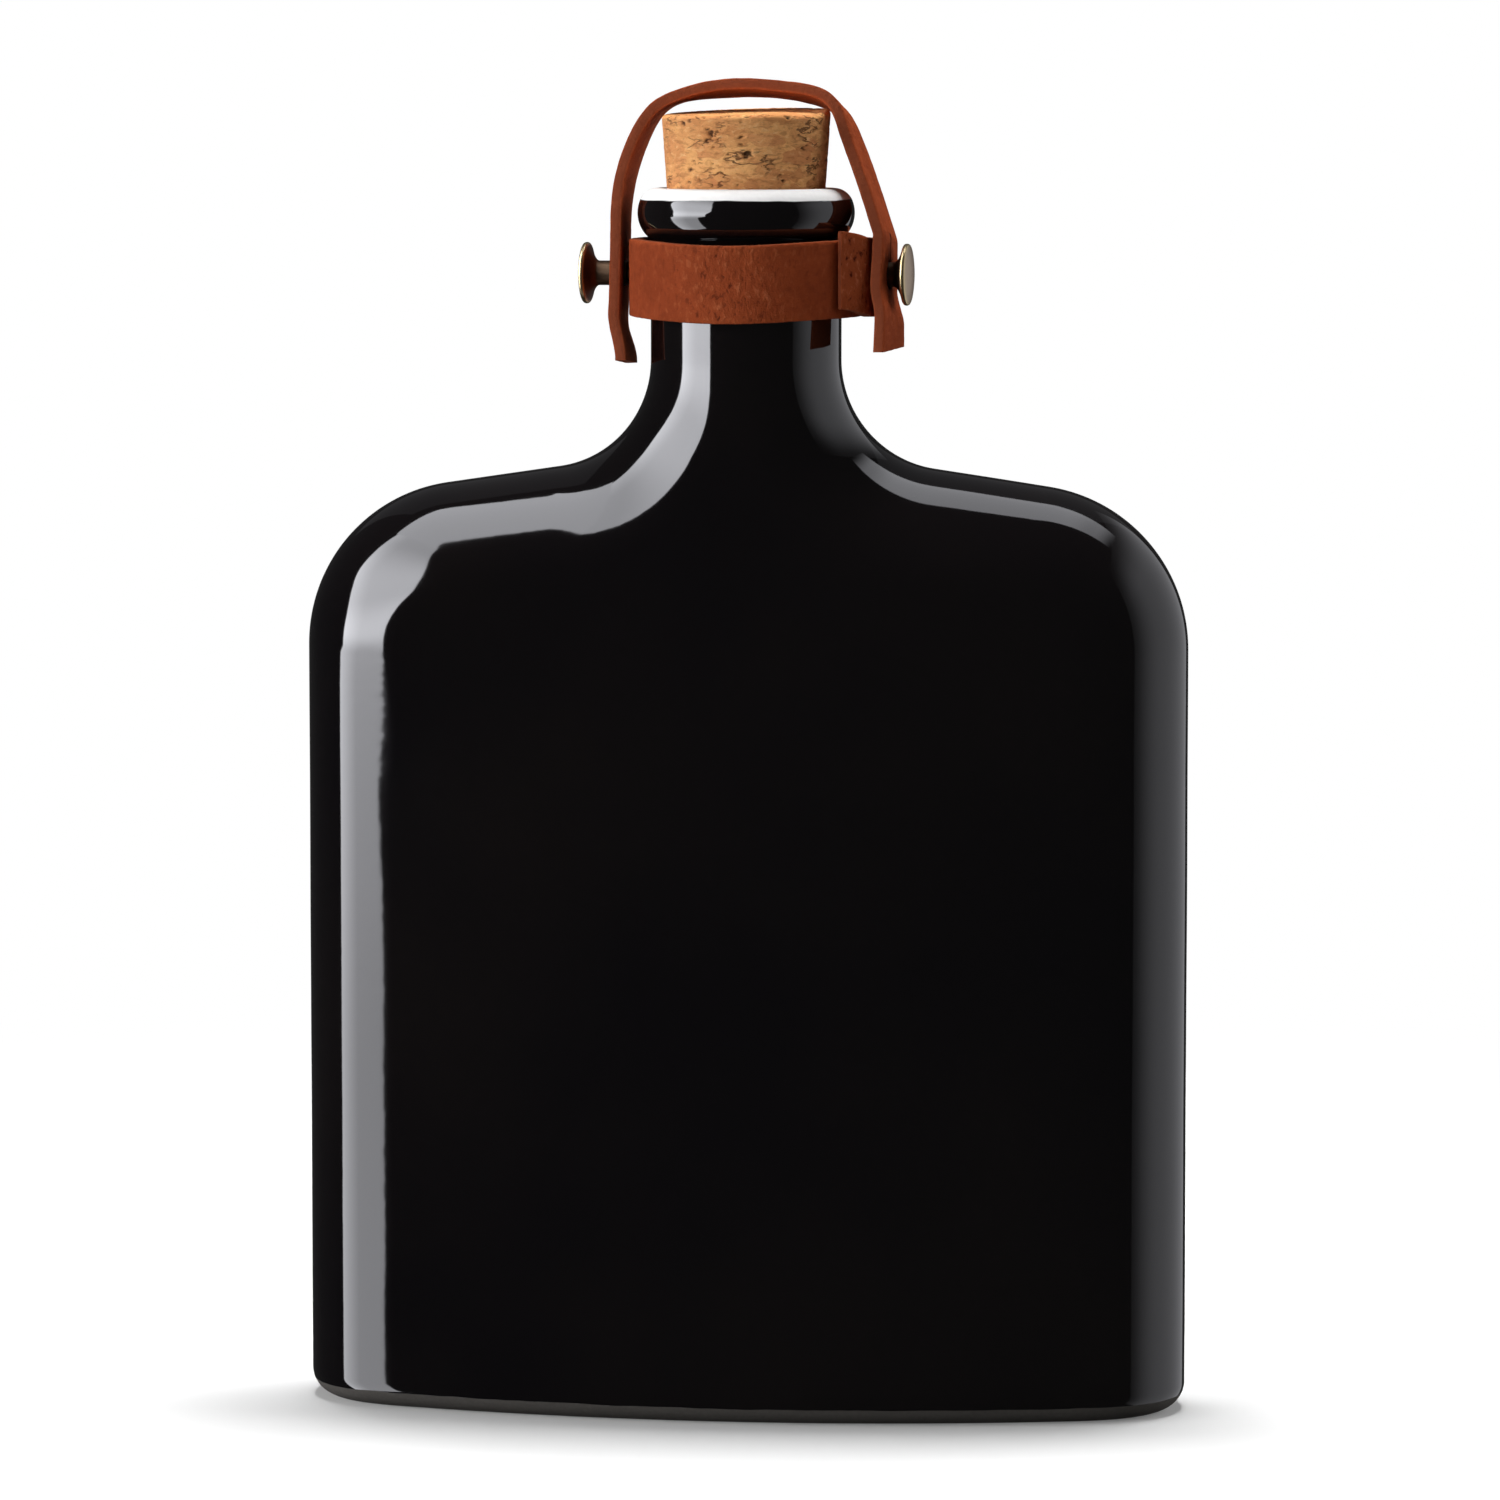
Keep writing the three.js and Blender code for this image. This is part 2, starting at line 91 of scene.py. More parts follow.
def add_node(tree, kind, inputs=None, **settings):
    """Adds a node, with its settings and what goes into its sockets."""
    node = tree.nodes.new(kind)
    for label, value in settings.items():
        setattr(node, label, value)
    for label, value in (inputs or {}).items():
        plug(tree, node.inputs[label], value)
    return node


class Field:
    """A node's output that can stand in a formula."""

    def __init__(self, tree, socket):
        self.tree, self.socket = tree, socket

    def op(self, kind, *others):
        return math_node(self.tree, kind, self, *others)

    def __add__(self, other):
        return self.op("ADD", other)

    def __sub__(self, other):
        return self.op("SUBTRACT", other)

    def __rsub__(self, other):
        return math_node(self.tree, "SUBTRACT", other, self)

    def __mul__(self, other):
        return self.op("MULTIPLY", other)

    def __truediv__(self, other):
        return self.op("DIVIDE", other)

    def __rtruediv__(self, other):
        return math_node(self.tree, "DIVIDE", other, self)

    def __pow__(self, other):
        return self.op("POWER", other)

    __radd__, __rmul__ = __add__, __mul__

    def clamp(self, low=0.0, high=1.0):
        return self.op("MAXIMUM", low).op("MINIMUM", high)

    def root(self):
        return self.op("MAXIMUM", 0.0).op("SQRT")

    def smooth(self, low, high):
        """0 below low, 1 above high, and an easy curve between."""
        t = ((self - low) / (high - low)).clamp()
        return t * t * (3 - 2 * t)

    def ramp(self, low, high):
        """0 below low, 1 above high, straight between."""
        return ((self - low) / (high - low)).clamp()


def math_node(tree, kind, *terms):
    node = add_node(tree, "ShaderNodeMath", operation=kind)
    for socket, term in zip(node.inputs, terms):
        plug(tree, socket, term)
    return Field(tree, node.outputs[0])


def parts_of(tree, vector):
    """The x, y and z of a vector, as fields."""
    node = add_node(tree, "ShaderNodeSeparateXYZ", {"Vector": vector})
    return [Field(tree, out) for out in node.outputs]


def vector_of(tree, x, y, z):
    return add_node(tree, "ShaderNodeCombineXYZ", {"X": x, "Y": y, "Z": z})


def noise(tree, vector, size, detail=2.0, roughness=0.5, seed=None):
    """A noise whose features are about size millimetres across; a seed picks another stretch of it."""
    inputs = {"Vector": vector, "Scale": 1 / (size * MM), "Detail": detail, "Roughness": roughness}
    if seed is not None:
        inputs["W"] = seed
    node = add_node(tree, "ShaderNodeTexNoise", inputs, noise_dimensions="3D" if seed is None else "4D")
    return Field(tree, node.outputs["Fac"])


print("one formula adds its nodes by itself")

# %% [markdown]
# ## Recipes
# A recipe is a Geometry Nodes tree with a named input for each size. It starts from a chain of points, an outline
# or a path, whose points can carry values of their own. When its modifier has run, the result is kept as a plain
# mesh and the modifier is taken off, so that the piece that moves later is an ordinary mesh.

# %% Recipes for Geometry Nodes
class Recipe:
    """A Geometry Nodes tree with named inputs."""

    def __init__(self, name, **sizes):
        self.tree = bpy.data.node_groups.new(name, "GeometryNodeTree")
        self.sizes = sizes
        sockets = self.tree.interface
        sockets.new_socket("Geometry", in_out="INPUT", socket_type="NodeSocketGeometry")
        sockets.new_socket("Geometry", in_out="OUTPUT", socket_type="NodeSocketGeometry")
        for label, value in sizes.items():
            kind = "NodeSocketInt" if isinstance(value, int) else "NodeSocketFloat"
            sockets.new_socket(label, in_out="INPUT", socket_type=kind)
        self.start = self.tree.nodes.new("NodeGroupInput")
        self.chain = self.start.outputs["Geometry"]

    def __getitem__(self, label):
        return Field(self.tree, self.start.outputs[label])

    def node(self, kind, inputs=None, **settings):
        return add_node(self.tree, kind, inputs, **settings)

    def position(self):
        return self.node("GeometryNodeInputPosition")

    def named(self, label, kind="FLOAT"):
        """A value that the points carry under a name."""
        node = self.node("GeometryNodeInputNamedAttribute", {"Name": label}, data_type=kind)
        return Field(self.tree, node.outputs["Attribute"])

    def at_point(self, value, index, kind="FLOAT"):
        """A value of one point of the chain."""
        node = self.node("GeometryNodeSampleIndex", data_type=kind, clamp=True)
        for label, given in (("Geometry", self.chain), ("Value", value), ("Index", index)):
            plug(self.tree, node.inputs[label], given)
        return Field(self.tree, node.outputs[0])

    def store(self, geometry, label, value):
        return self.node("GeometryNodeStoreNamedAttribute", {"Geometry": geometry, "Name": label, "Value": value},
                         data_type="FLOAT", domain="POINT")

    def lift(self, geometry, height):
        """Moves each point along its normal."""
        normal = self.node("GeometryNodeInputNormal")
        offset = self.node("ShaderNodeVectorMath", operation="SCALE")
        plug(self.tree, offset.inputs[0], normal)
        plug(self.tree, offset.inputs["Scale"], height)
        return self.node("GeometryNodeSetPosition", {"Geometry": geometry, "Offset": offset})

    def close(self, geometry, material):
        """Ends the tree: real geometry with one material."""
        smooth = self.node("GeometryNodeSetShadeSmooth", {"Geometry": geometry})
        real = self.node("GeometryNodeRealizeInstances", {"Geometry": smooth})
        painted = self.node("GeometryNodeSetMaterial", {"Geometry": real, "Material": material})
        self.node("NodeGroupOutput", {"Geometry": painted})
        return self


print("a recipe holds a tree, its named inputs, and ways to read and move points")

# %% Running a recipe
def chain(name, points, **values):
    """An object that is a chain of points, in millimetres, with values for a recipe to read."""
    mesh = bpy.data.meshes.new(name)
    mesh.from_pydata([[c * MM for c in point] for point in points], [(i, i + 1) for i in range(len(points) - 1)], [])
    for label, column in values.items():
        column = np.asarray(column, float)
        layer = mesh.attributes.new(label, "FLOAT_VECTOR" if column.ndim == 2 else "FLOAT", "POINT")
        layer.data.foreach_set("vector" if column.ndim == 2 else "value", column.ravel())
    obj = bpy.data.objects.new(name, mesh)
    bpy.context.scene.collection.objects.link(obj)
    return obj


def grow(obj, recipe, **sizes):
    """Runs a recipe on an object and keeps the result as a plain mesh."""
    modifier = obj.modifiers.new(recipe.tree.name, "NODES")
    modifier.node_group = recipe.tree
    wanted = {**recipe.sizes, **sizes}
    for item in recipe.tree.interface.items_tree:
        if item.in_out == "INPUT" and item.name in wanted:
            modifier[item.identifier] = wanted[item.name]
    depsgraph = bpy.context.evaluated_depsgraph_get()
    mesh = bpy.data.meshes.new_from_object(obj.evaluated_get(depsgraph), preserve_all_data_layers=True,
                                           depsgraph=depsgraph)
    obj.modifiers.clear()
    obj.data = mesh
    return obj


def settle(piece, body, nodes):
    """Joins a finished piece to the body that it moves with and the solids that it stands for."""
    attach(piece, body)
    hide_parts(*nodes)
    print(piece.name, "has", len(piece.data.polygons), "faces and rides on", body)


print("recipes can run on a chain of points")

# %% [markdown]
# ## Finishes
# Each finish is a node material on Object coordinates, or on values that a recipe leaves on its mesh, so the
# pattern stays on the piece when it moves. Base colours stay close to what the real stuff would measure: black
# glaze, oiled leather, bare cork and aged brass.

# %% Helpers for finishes
def new_finish(name):
    """A material with its shader, and Object coordinates."""
    material = bpy.data.materials.new(name)
    material.use_nodes = True
    tree = material.node_tree
    shader = tree.nodes["Principled BSDF"]
    place = add_node(tree, "ShaderNodeTexCoord").outputs["Object"]
    return material, tree, shader, place


def dress(tree, shader, looks):
    """Sets or links several sockets of the shader."""
    for label, value in looks.items():
        plug(tree, shader.inputs[label], value)


def tint(tree, factor, first, second):
    """A mix of two colours; each is a tuple or another mix."""
    node = add_node(tree, "ShaderNodeMix", data_type="RGBA")
    sockets = {socket.identifier: socket for socket in node.inputs}
    for label, value in (("Factor_Float", factor), ("A_Color", first), ("B_Color", second)):
        plug(tree, sockets[label], (*value, 1) if isinstance(value, tuple) else value)
    return next(out for out in node.outputs if out.identifier == "Result_Color")


def carried(tree, label):
    """A value that the mesh's points carry under a name."""
    return Field(tree, add_node(tree, "ShaderNodeAttribute", attribute_name=label).outputs["Fac"])


def bump(tree, shader, height, depth, strength=1.0):
    """Fine relief of the given depth in millimetres, from a height between 0 and 1."""
    node = add_node(tree, "ShaderNodeBump", {"Height": height, "Distance": depth * MM, "Strength": strength})
    plug(tree, shader.inputs["Normal"], node)


def stretched(tree, vector, x, y, z):
    """A vector with each of its parts scaled, for grain that runs one way."""
    a, b, c = parts_of(tree, vector)
    return vector_of(tree, a * x, b * y, c * z)


print("finish helpers ready")

# %% [markdown]
# The glaze is a deep black glass over the clay, so nearly all that shows is what it reflects. It isn't dead even:
# it pools a little browner in places and its surface ripples very slightly. The foot, which stood on the kiln shelf,
# and the top of the lip, where the cork seats, are wiped bare, so a narrow band of clay shows at each. The clay's
# colour holds painted shade and painted light: near black at the foot, for the shade under the base, and near white
# at the lip, for the light from above. The glaze's own gloss comes from a low roughness, never from painted light.

# %% Black glaze
WIPED_FOOT, WIPED_LIP = 2.05, 147.45  # the glaze lies between these heights


def make_glaze():
    material, tree, shader, place = new_finish("black_glaze")
    height = parts_of(tree, place)[2]
    pooling = noise(tree, place, 38, detail=3)
    speck = noise(tree, place, 0.5, detail=2)
    wiped_edge = (noise(tree, place, 5, detail=2) - 0.5) * 0.35 * MM
    foot = 1 - (height + wiped_edge).ramp((WIPED_FOOT - 0.04) * MM, (WIPED_FOOT + 0.04) * MM)
    lip = (height + wiped_edge).ramp((WIPED_LIP - 0.05) * MM, (WIPED_LIP + 0.05) * MM)
    bare = foot.op("MAXIMUM", lip)
    glass = tint(tree, pooling.ramp(0.35, 0.75), (0.0022, 0.0016, 0.0023), (0.0048, 0.0034, 0.0034))
    # painted shade and painted light on the bare clay: near black at the foot, for the shade under the base, and near
    # white at the lip, for the light from above
    bare_clay_painted_lit_and_shaded = tint(tree, speck, tint(tree, lip, (0.062, 0.057, 0.052), (0.79, 0.785, 0.78)),
                tint(tree, lip, (0.092, 0.086, 0.078), (0.87, 0.865, 0.86)))
    dress(tree, shader, {"Base Color": tint(tree, bare, glass, bare_clay_painted_lit_and_shaded), "Roughness": pooling * 0.04 + 0.03 + bare * 0.8,
                         "Specular IOR Level": 0.5 - bare * 0.35, "IOR": 1.7})  # a heavy, glassy glaze
    bump(tree, shader, noise(tree, place, 2.2, detail=1), 0.004)
    return material


black_glaze = make_glaze()
print("made", black_glaze.name)

# %% [markdown]
# Cork is bark: pale tan cells with darker streaks, and dark pores that open as pits on the surface. The pits are
# real dents in the mesh, made further down, and they carry a value named pit so that the colour follows them.

# %% Bare cork
def warped(tree, vector, size, amount):
    """A vector pushed about by a noise, so that straight borders turn ragged."""
    push = add_node(tree, "ShaderNodeTexNoise", {"Vector": vector, "Scale": 1 / (size * MM), "Detail": 2.0})
    scaled = add_node(tree, "ShaderNodeVectorMath", {"Scale": amount * MM}, operation="SCALE")
    plug(tree, scaled.inputs[0], push.outputs["Color"])
    moved = add_node(tree, "ShaderNodeVectorMath", operation="ADD")
    plug(tree, moved.inputs[0], vector)
    plug(tree, moved.inputs[1], scaled)
    return moved


def make_cork():
    material, tree, shader, place = new_finish("bare_cork")
    lying = warped(tree, stretched(tree, place, 1, 1, 1.8), 1.6, 1.5)
    cells = add_node(tree, "ShaderNodeTexVoronoi", {"Vector": lying, "Scale": 1 / (2.3 * MM)})
    shade, rosy, _ = parts_of(tree, cells.outputs["Color"])
    patch = noise(tree, lying, 3.5, detail=4, roughness=0.6)
    grain = noise(tree, place, 0.25, detail=3, roughness=0.6)
    streak = noise(tree, stretched(tree, place, 1, 1, 3.4), 1.5, detail=5, roughness=0.65)
    line_noise = noise(tree, stretched(tree, place, 1, 1, 2.7), 2.9, detail=3, roughness=0.55)
    ridge = 1 - ((line_noise - 0.5) * 2).op("ABSOLUTE")
    crack = ridge.ramp(0.93, 0.975) * noise(tree, place, 3.2, detail=1).ramp(0.52, 0.6)
    blot = noise(tree, stretched(tree, lying, 1, 1, 1.5), 1.15, detail=3, roughness=0.55)
    pit = carried(tree, "pit").ramp(0.15, 0.7)
    body = tint(tree, (shade * 0.55 + patch * 0.9 - 0.22).clamp(), (0.58, 0.212, 0.066), (0.97, 0.52, 0.195))
    blushed = tint(tree, rosy.ramp(0.5, 1.0) * 0.6, body, (0.66, 0.25, 0.092))
    blotted = tint(tree, blot.ramp(0.53, 0.66) * 0.5, blushed, (0.40, 0.14, 0.044))
    flaked = tint(tree, (1 - blot).ramp(0.56, 0.7) * 0.45, blotted, (0.96, 0.62, 0.29))
    streaked = tint(tree, streak.ramp(0.56, 0.72) * 0.5, flaked, (0.30, 0.11, 0.036))
    speckled = tint(tree, grain.ramp(0.58, 0.76) * 0.3, streaked, (0.26, 0.095, 0.03))
    cracked = tint(tree, crack * 0.8, speckled, (0.13, 0.045, 0.014))
    dress(tree, shader, {"Base Color": tint(tree, pit * 0.9, cracked, (0.045, 0.015, 0.005)), "Roughness": 0.85,
                         "Specular IOR Level": 0.2})
    bump(tree, shader, grain * 0.3 + patch * 0.4 + shade * 0.25 - blot * 0.5 - crack * 0.8, 0.2, 0.85)
    return material


bare_cork = make_cork()
print("made", bare_cork.name)

# %% [markdown]
# The straps are oiled, waxy leather. The grain side is mottled and scuffed, the cut edges are darker and a little
# polished, and the inner, flesh side is rough. The flesh side is paler than the grain, as flesh is, and its colour is
# raised further as painted light for the shaded undersides of the strips. A strip's recipe leaves three values on
# its mesh: along, in metres from its end, across, from edge to edge, and face, which is 1 outside and -1 inside. They
# make a flat map of the hide, so the grain follows the strip round its bends. A fourth value says where handling has
# raised the nap in short, pale and dark flecks, and makes the leather paler there; on the collar's tab that paling
# is painted light.

# %% Oiled leather
def make_leather():
    material, tree, shader, _ = new_finish("oiled_leather")
    along, across, face, rubbed = (carried(tree, label) for label in ("along", "across", "face", "rubbed"))
    hide = vector_of(tree, along, across * 4.7 * MM, face * 0.7 * MM)  # half a strip's width and half its thickness
    blotch = noise(tree, hide, 6, detail=4, roughness=0.6)
    mottle = noise(tree, hide, 1.0, detail=4, roughness=0.65)
    fibre = noise(tree, stretched(tree, hide, 0.6, 1.6, 1.0), 0.32, detail=4, roughness=0.7)
    nap = noise(tree, warped(tree, stretched(tree, hide, 1.5, 0.7, 1.0), 0.8, 0.8), 0.85, detail=3, roughness=0.6)
    pale_nap = nap.ramp(0.56, 0.68) * rubbed
    dark_nap = (1 - nap).ramp(0.58, 0.70) * rubbed
    inside = (face * -1).ramp(0.5, 0.95)
    edge = 1 - face.op("ABSOLUTE").ramp(0.55, 0.93)
    grain_side = tint(tree, blotch.ramp(0.3, 0.7), (0.215, 0.036, 0.0095), (0.315, 0.058, 0.0165))
    mottled = tint(tree, mottle.ramp(0.45, 0.75) * 0.5, grain_side, (0.155, 0.025, 0.008))
    flecked = tint(tree, fibre.ramp(0.62, 0.8) * 0.3, mottled, (0.42, 0.125, 0.055))
    # paler where handled, and on the collar's tab as painted light
    paler = tint(tree, rubbed * 0.4, flecked, (0.40, 0.085, 0.027))
    worn = tint(tree, pale_nap * 0.65, paler, (0.50, 0.140, 0.054))
    pitted = tint(tree, dark_nap * 0.85, worn, (0.075, 0.010, 0.004))
    edged = tint(tree, edge * 0.7, pitted, (0.25, 0.066, 0.030))
    # painted light in part: the flesh colour is raised above the leather's own, to light the shaded undersides of the
    # strips
    flesh_painted_lighter = tint(tree, fibre.ramp(0.35, 0.7), (0.30, 0.066, 0.024), (0.50, 0.118, 0.044))
    dress(tree, shader, {"Base Color": tint(tree, inside, edged, flesh_painted_lighter), "Specular IOR Level": 0.05,
                         "Roughness": (0.74 + mottle * 0.2 - edge * 0.08).clamp(0.4, 0.95)})
    bump(tree, shader, mottle * 0.25 + fibre * 0.25 + nap * (0.12 + rubbed * 0.75), 0.36, 0.9)
    return material


oiled_leather = make_leather()
print("made", oiled_leather.name)

# %% [markdown]
# The studs are brass that has darkened with age. Where thumb and strap never rub, in the hollow of the flare, it is
# nearly brown; the rim of the head is rubbed bright. The stud's recipe carries that as a value named worn.

# %% Aged brass
def make_brass():
    material, tree, shader, place = new_finish("aged_brass")
    worn = carried(tree, "worn")
    cloud = noise(tree, place, 1.6, detail=4, roughness=0.6)
    pock = noise(tree, place, 0.35, detail=2)
    polish = (worn + (cloud - 0.5) * 0.35).clamp()
    dull = tint(tree, polish.ramp(0.08, 0.5), (0.125, 0.080, 0.050), (0.50, 0.38, 0.27))
    bright = tint(tree, polish.ramp(0.62, 1.0), dull, (0.72, 0.57, 0.31))
    dress(tree, shader, {"Base Color": tint(tree, pock.ramp(0.62, 0.8) * 0.4, bright, (0.06, 0.035, 0.018)),
                         "Metallic": 1.0, "Roughness": 0.42 - polish * 0.16 + cloud * 0.08})
    bump(tree, shader, pock * 0.5 + cloud * 0.5, 0.05, 0.5)
    return material


aged_brass = make_brass()
print("made", aged_brass.name)

# %% [markdown]
# ## The ceramic body
# A flask like this is drawn as a front outline: straight sides, a round corner, a gently sloping shoulder and a
# fillet into the neck. Between front and back its edge is a round of one radius all the way along that outline, and
# the faces swell slightly, like a lens. Modelling such a shoulder by pushing points would leave dents, and black
# gloss shows every one. So the surface is a rule: a ring goes from each point of the outline to the middle, and the
# distance to the outline gives the thickness there.

# %% Sizes of the body
BODY_WIDTH, BODY_DEPTH = 108, 38
RIM_RADIUS = 13
BASE_ROUND = 3.2
SHOULDER_START, CROWN_START = 93, 45
CORNER_RADIUS, FILLET_RADIUS = 20, 13.3
SLOPE = math.radians(8.5)
WALL, FLOOR, FLOOR_ROUND = 4, 4.5, 3
NECK_RADIUS, NECK_WALL, NECK_LENGTH = 11.6, 1.65, 20.8
LIP_OVERHANG, BEAD_RADIUS, BEAD_DROP, LIP_ROUND, MOUTH_ROUND = 1.6, 4, 3, 2.4, 0.7
BODY_SIDES = 256
FIT_GAP = 0.3
CORK_LENGTH, CORK_SHOWING, CORK_TAPER, CORK_EDGE = 23.5, 9, 0.07, 0.5


def shoulder_sizes(half_width, corner, fillet, neck):
    """Where the straight slope meets the corner and the fillet of an outline."""
    low = (half_width - corner + corner * math.sin(SLOPE), SHOULDER_START + corner * math.cos(SLOPE))
    high_x = neck + fillet - fillet * math.sin(SLOPE)
    high = (high_x, low[1] + (low[0] - high_x) * math.tan(SLOPE))
    return {"half_width": half_width, "corner": corner, "fillet": fillet, "neck": neck, "low": low, "high": high,
            "neck_start": high[1] + fillet * math.cos(SLOPE)}


outer = shoulder_sizes(BODY_WIDTH / 2, CORNER_RADIUS, FILLET_RADIUS, NECK_RADIUS)
LIP_TOP = outer["neck_start"] + NECK_LENGTH
MOUTH_RADIUS = NECK_RADIUS - NECK_WALL
CORK_TOP = LIP_TOP + CORK_SHOWING
CORK_BOTTOM = CORK_TOP - CORK_LENGTH


def cork_radius(z):
    return MOUTH_RADIUS - FIT_GAP + CORK_TAPER * (z - LIP_TOP)


BORE_RADIUS = cork_radius(CORK_BOTTOM) + FIT_GAP
inner = shoulder_sizes(BODY_WIDTH / 2 - WALL, CORNER_RADIUS - WALL, FILLET_RADIUS + WALL, BORE_RADIUS)
print("lip at", round(LIP_TOP, 2), "mm, cork top at", round(CORK_TOP, 2), "mm")

# %% Outlines of the body, outside and inside
def arc(centre, radius, start, end, steps):
    """Points on an arc, in degrees, without its first point."""
    turns = np.radians(np.linspace(start, end, steps + 1)[1:])
    return [(centre[0] + radius * math.cos(t), centre[1] + radius * math.sin(t)) for t in turns]


def line(start, end, steps):
    return [tuple(p) for p in np.linspace(start, end, steps + 1)[1:]]


def shoulder_outline(shape, foot_round, floor, detail):
    """Foot, side, corner, slope and fillet, from the foot's flat up to the neck."""
    width, corner, fillet = shape["half_width"], shape["corner"], shape["fillet"]
    slope = math.degrees(SLOPE)
    points = [(width - foot_round, floor)]
    points += arc((width - foot_round, floor + foot_round), foot_round, -90, 0, detail)
    points += line(points[-1], (width, SHOULDER_START), 3 * detail)
    points += arc((width - corner, SHOULDER_START), corner, 0, 90 - slope, 3 * detail)
    points += line(shape["low"], shape["high"], detail)
    points += arc((shape["neck"] + fillet, shape["neck_start"]), fillet, 270 - slope, 180, 2 * detail)
    return points


def lip_outline():
    """Neck, rolled lip and the round on top of it, up to the mouth."""
    centre, middle = NECK_RADIUS + LIP_OVERHANG - BEAD_RADIUS, LIP_TOP - BEAD_DROP
    low = -math.acos((NECK_RADIUS - centre) / BEAD_RADIUS)
    high = math.asin((BEAD_DROP - LIP_ROUND) / (BEAD_RADIUS - LIP_ROUND))
    start = (centre + BEAD_RADIUS * math.cos(low), middle + BEAD_RADIUS * math.sin(low))
    inset = BEAD_RADIUS - LIP_ROUND
    top = (centre + inset * math.cos(high), middle + inset * math.sin(high))
    points = line((NECK_RADIUS, outer["neck_start"]), start, 12)
    points += arc((centre, middle), BEAD_RADIUS, math.degrees(low), math.degrees(high), 24)
    points += arc(top, LIP_ROUND, math.degrees(high), 90, 16)
    return points + line(points[-1], (MOUTH_RADIUS + MOUTH_ROUND, LIP_TOP), 1)


def mouth_outline():
    """Bore, and the round of the mouth up to the flat of the lip."""
    points = line((BORE_RADIUS, inner["neck_start"]), (BORE_RADIUS, CORK_BOTTOM), 4)
    points += line(points[-1], (MOUTH_RADIUS, LIP_TOP - MOUTH_ROUND), 10)
    return points + arc((MOUTH_RADIUS + MOUTH_ROUND, LIP_TOP - MOUTH_ROUND), MOUTH_ROUND, 180, 90, 8)


outside = shoulder_outline(outer, BASE_ROUND, 0, 16) + lip_outline()
inside = shoulder_outline(inner, FLOOR_ROUND, FLOOR, 8) + mouth_outline()
print(len(outside), "points outside,", len(inside), "inside")

# %% [markdown]
# A ring that ran level from the shoulder's edge would cross the slope at a poor angle, so rings start square to the
# outline and bend until they cross the middle level. Where a ring crosses the middle is a share of the climb, even
# along the outline.

# %% Where each ring starts and where it crosses the middle
def run_along(at):
    """How far along a path each of its points lies."""
    return np.concatenate([[0], np.cumsum(np.linalg.norm(np.diff(at, axis=0), axis=1))])


def ring_starts(shape, points):
    """The outward direction at each point of an outline, and the height where its ring crosses the middle."""
    at = np.array(points)
    step = np.gradient(at, axis=0)
    step /= np.linalg.norm(step, axis=1)[:, None]
    out = np.stack([step[:, 1], 0 * step[:, 0], -step[:, 0]], axis=1)
    top = shape["neck_start"]
    bends = (at[:, 1] > CROWN_START) & (at[:, 1] < top)
    run = run_along(at)
    first, last = np.interp([CROWN_START, top], at[:, 1], run)
    t = np.clip((run - first) / (last - first), 0, 1)
    level = (last - first) / (top - CROWN_START)
    share = level * (t - 3 * t**2 + 2 * t**3) + 3 * t**2 - 2 * t**3
    middle = np.where(bends, CROWN_START + (top - CROWN_START) * share, at[:, 1])
    out[~bends] = (1, 0, 0)
    return out, middle * MM


for name, shape, points in (("outside", outer, outside), ("inside", inner, inside)):
    print(name, "rings cross the middle up to", round(ring_starts(shape, points)[1].max() / MM, 1), "mm")

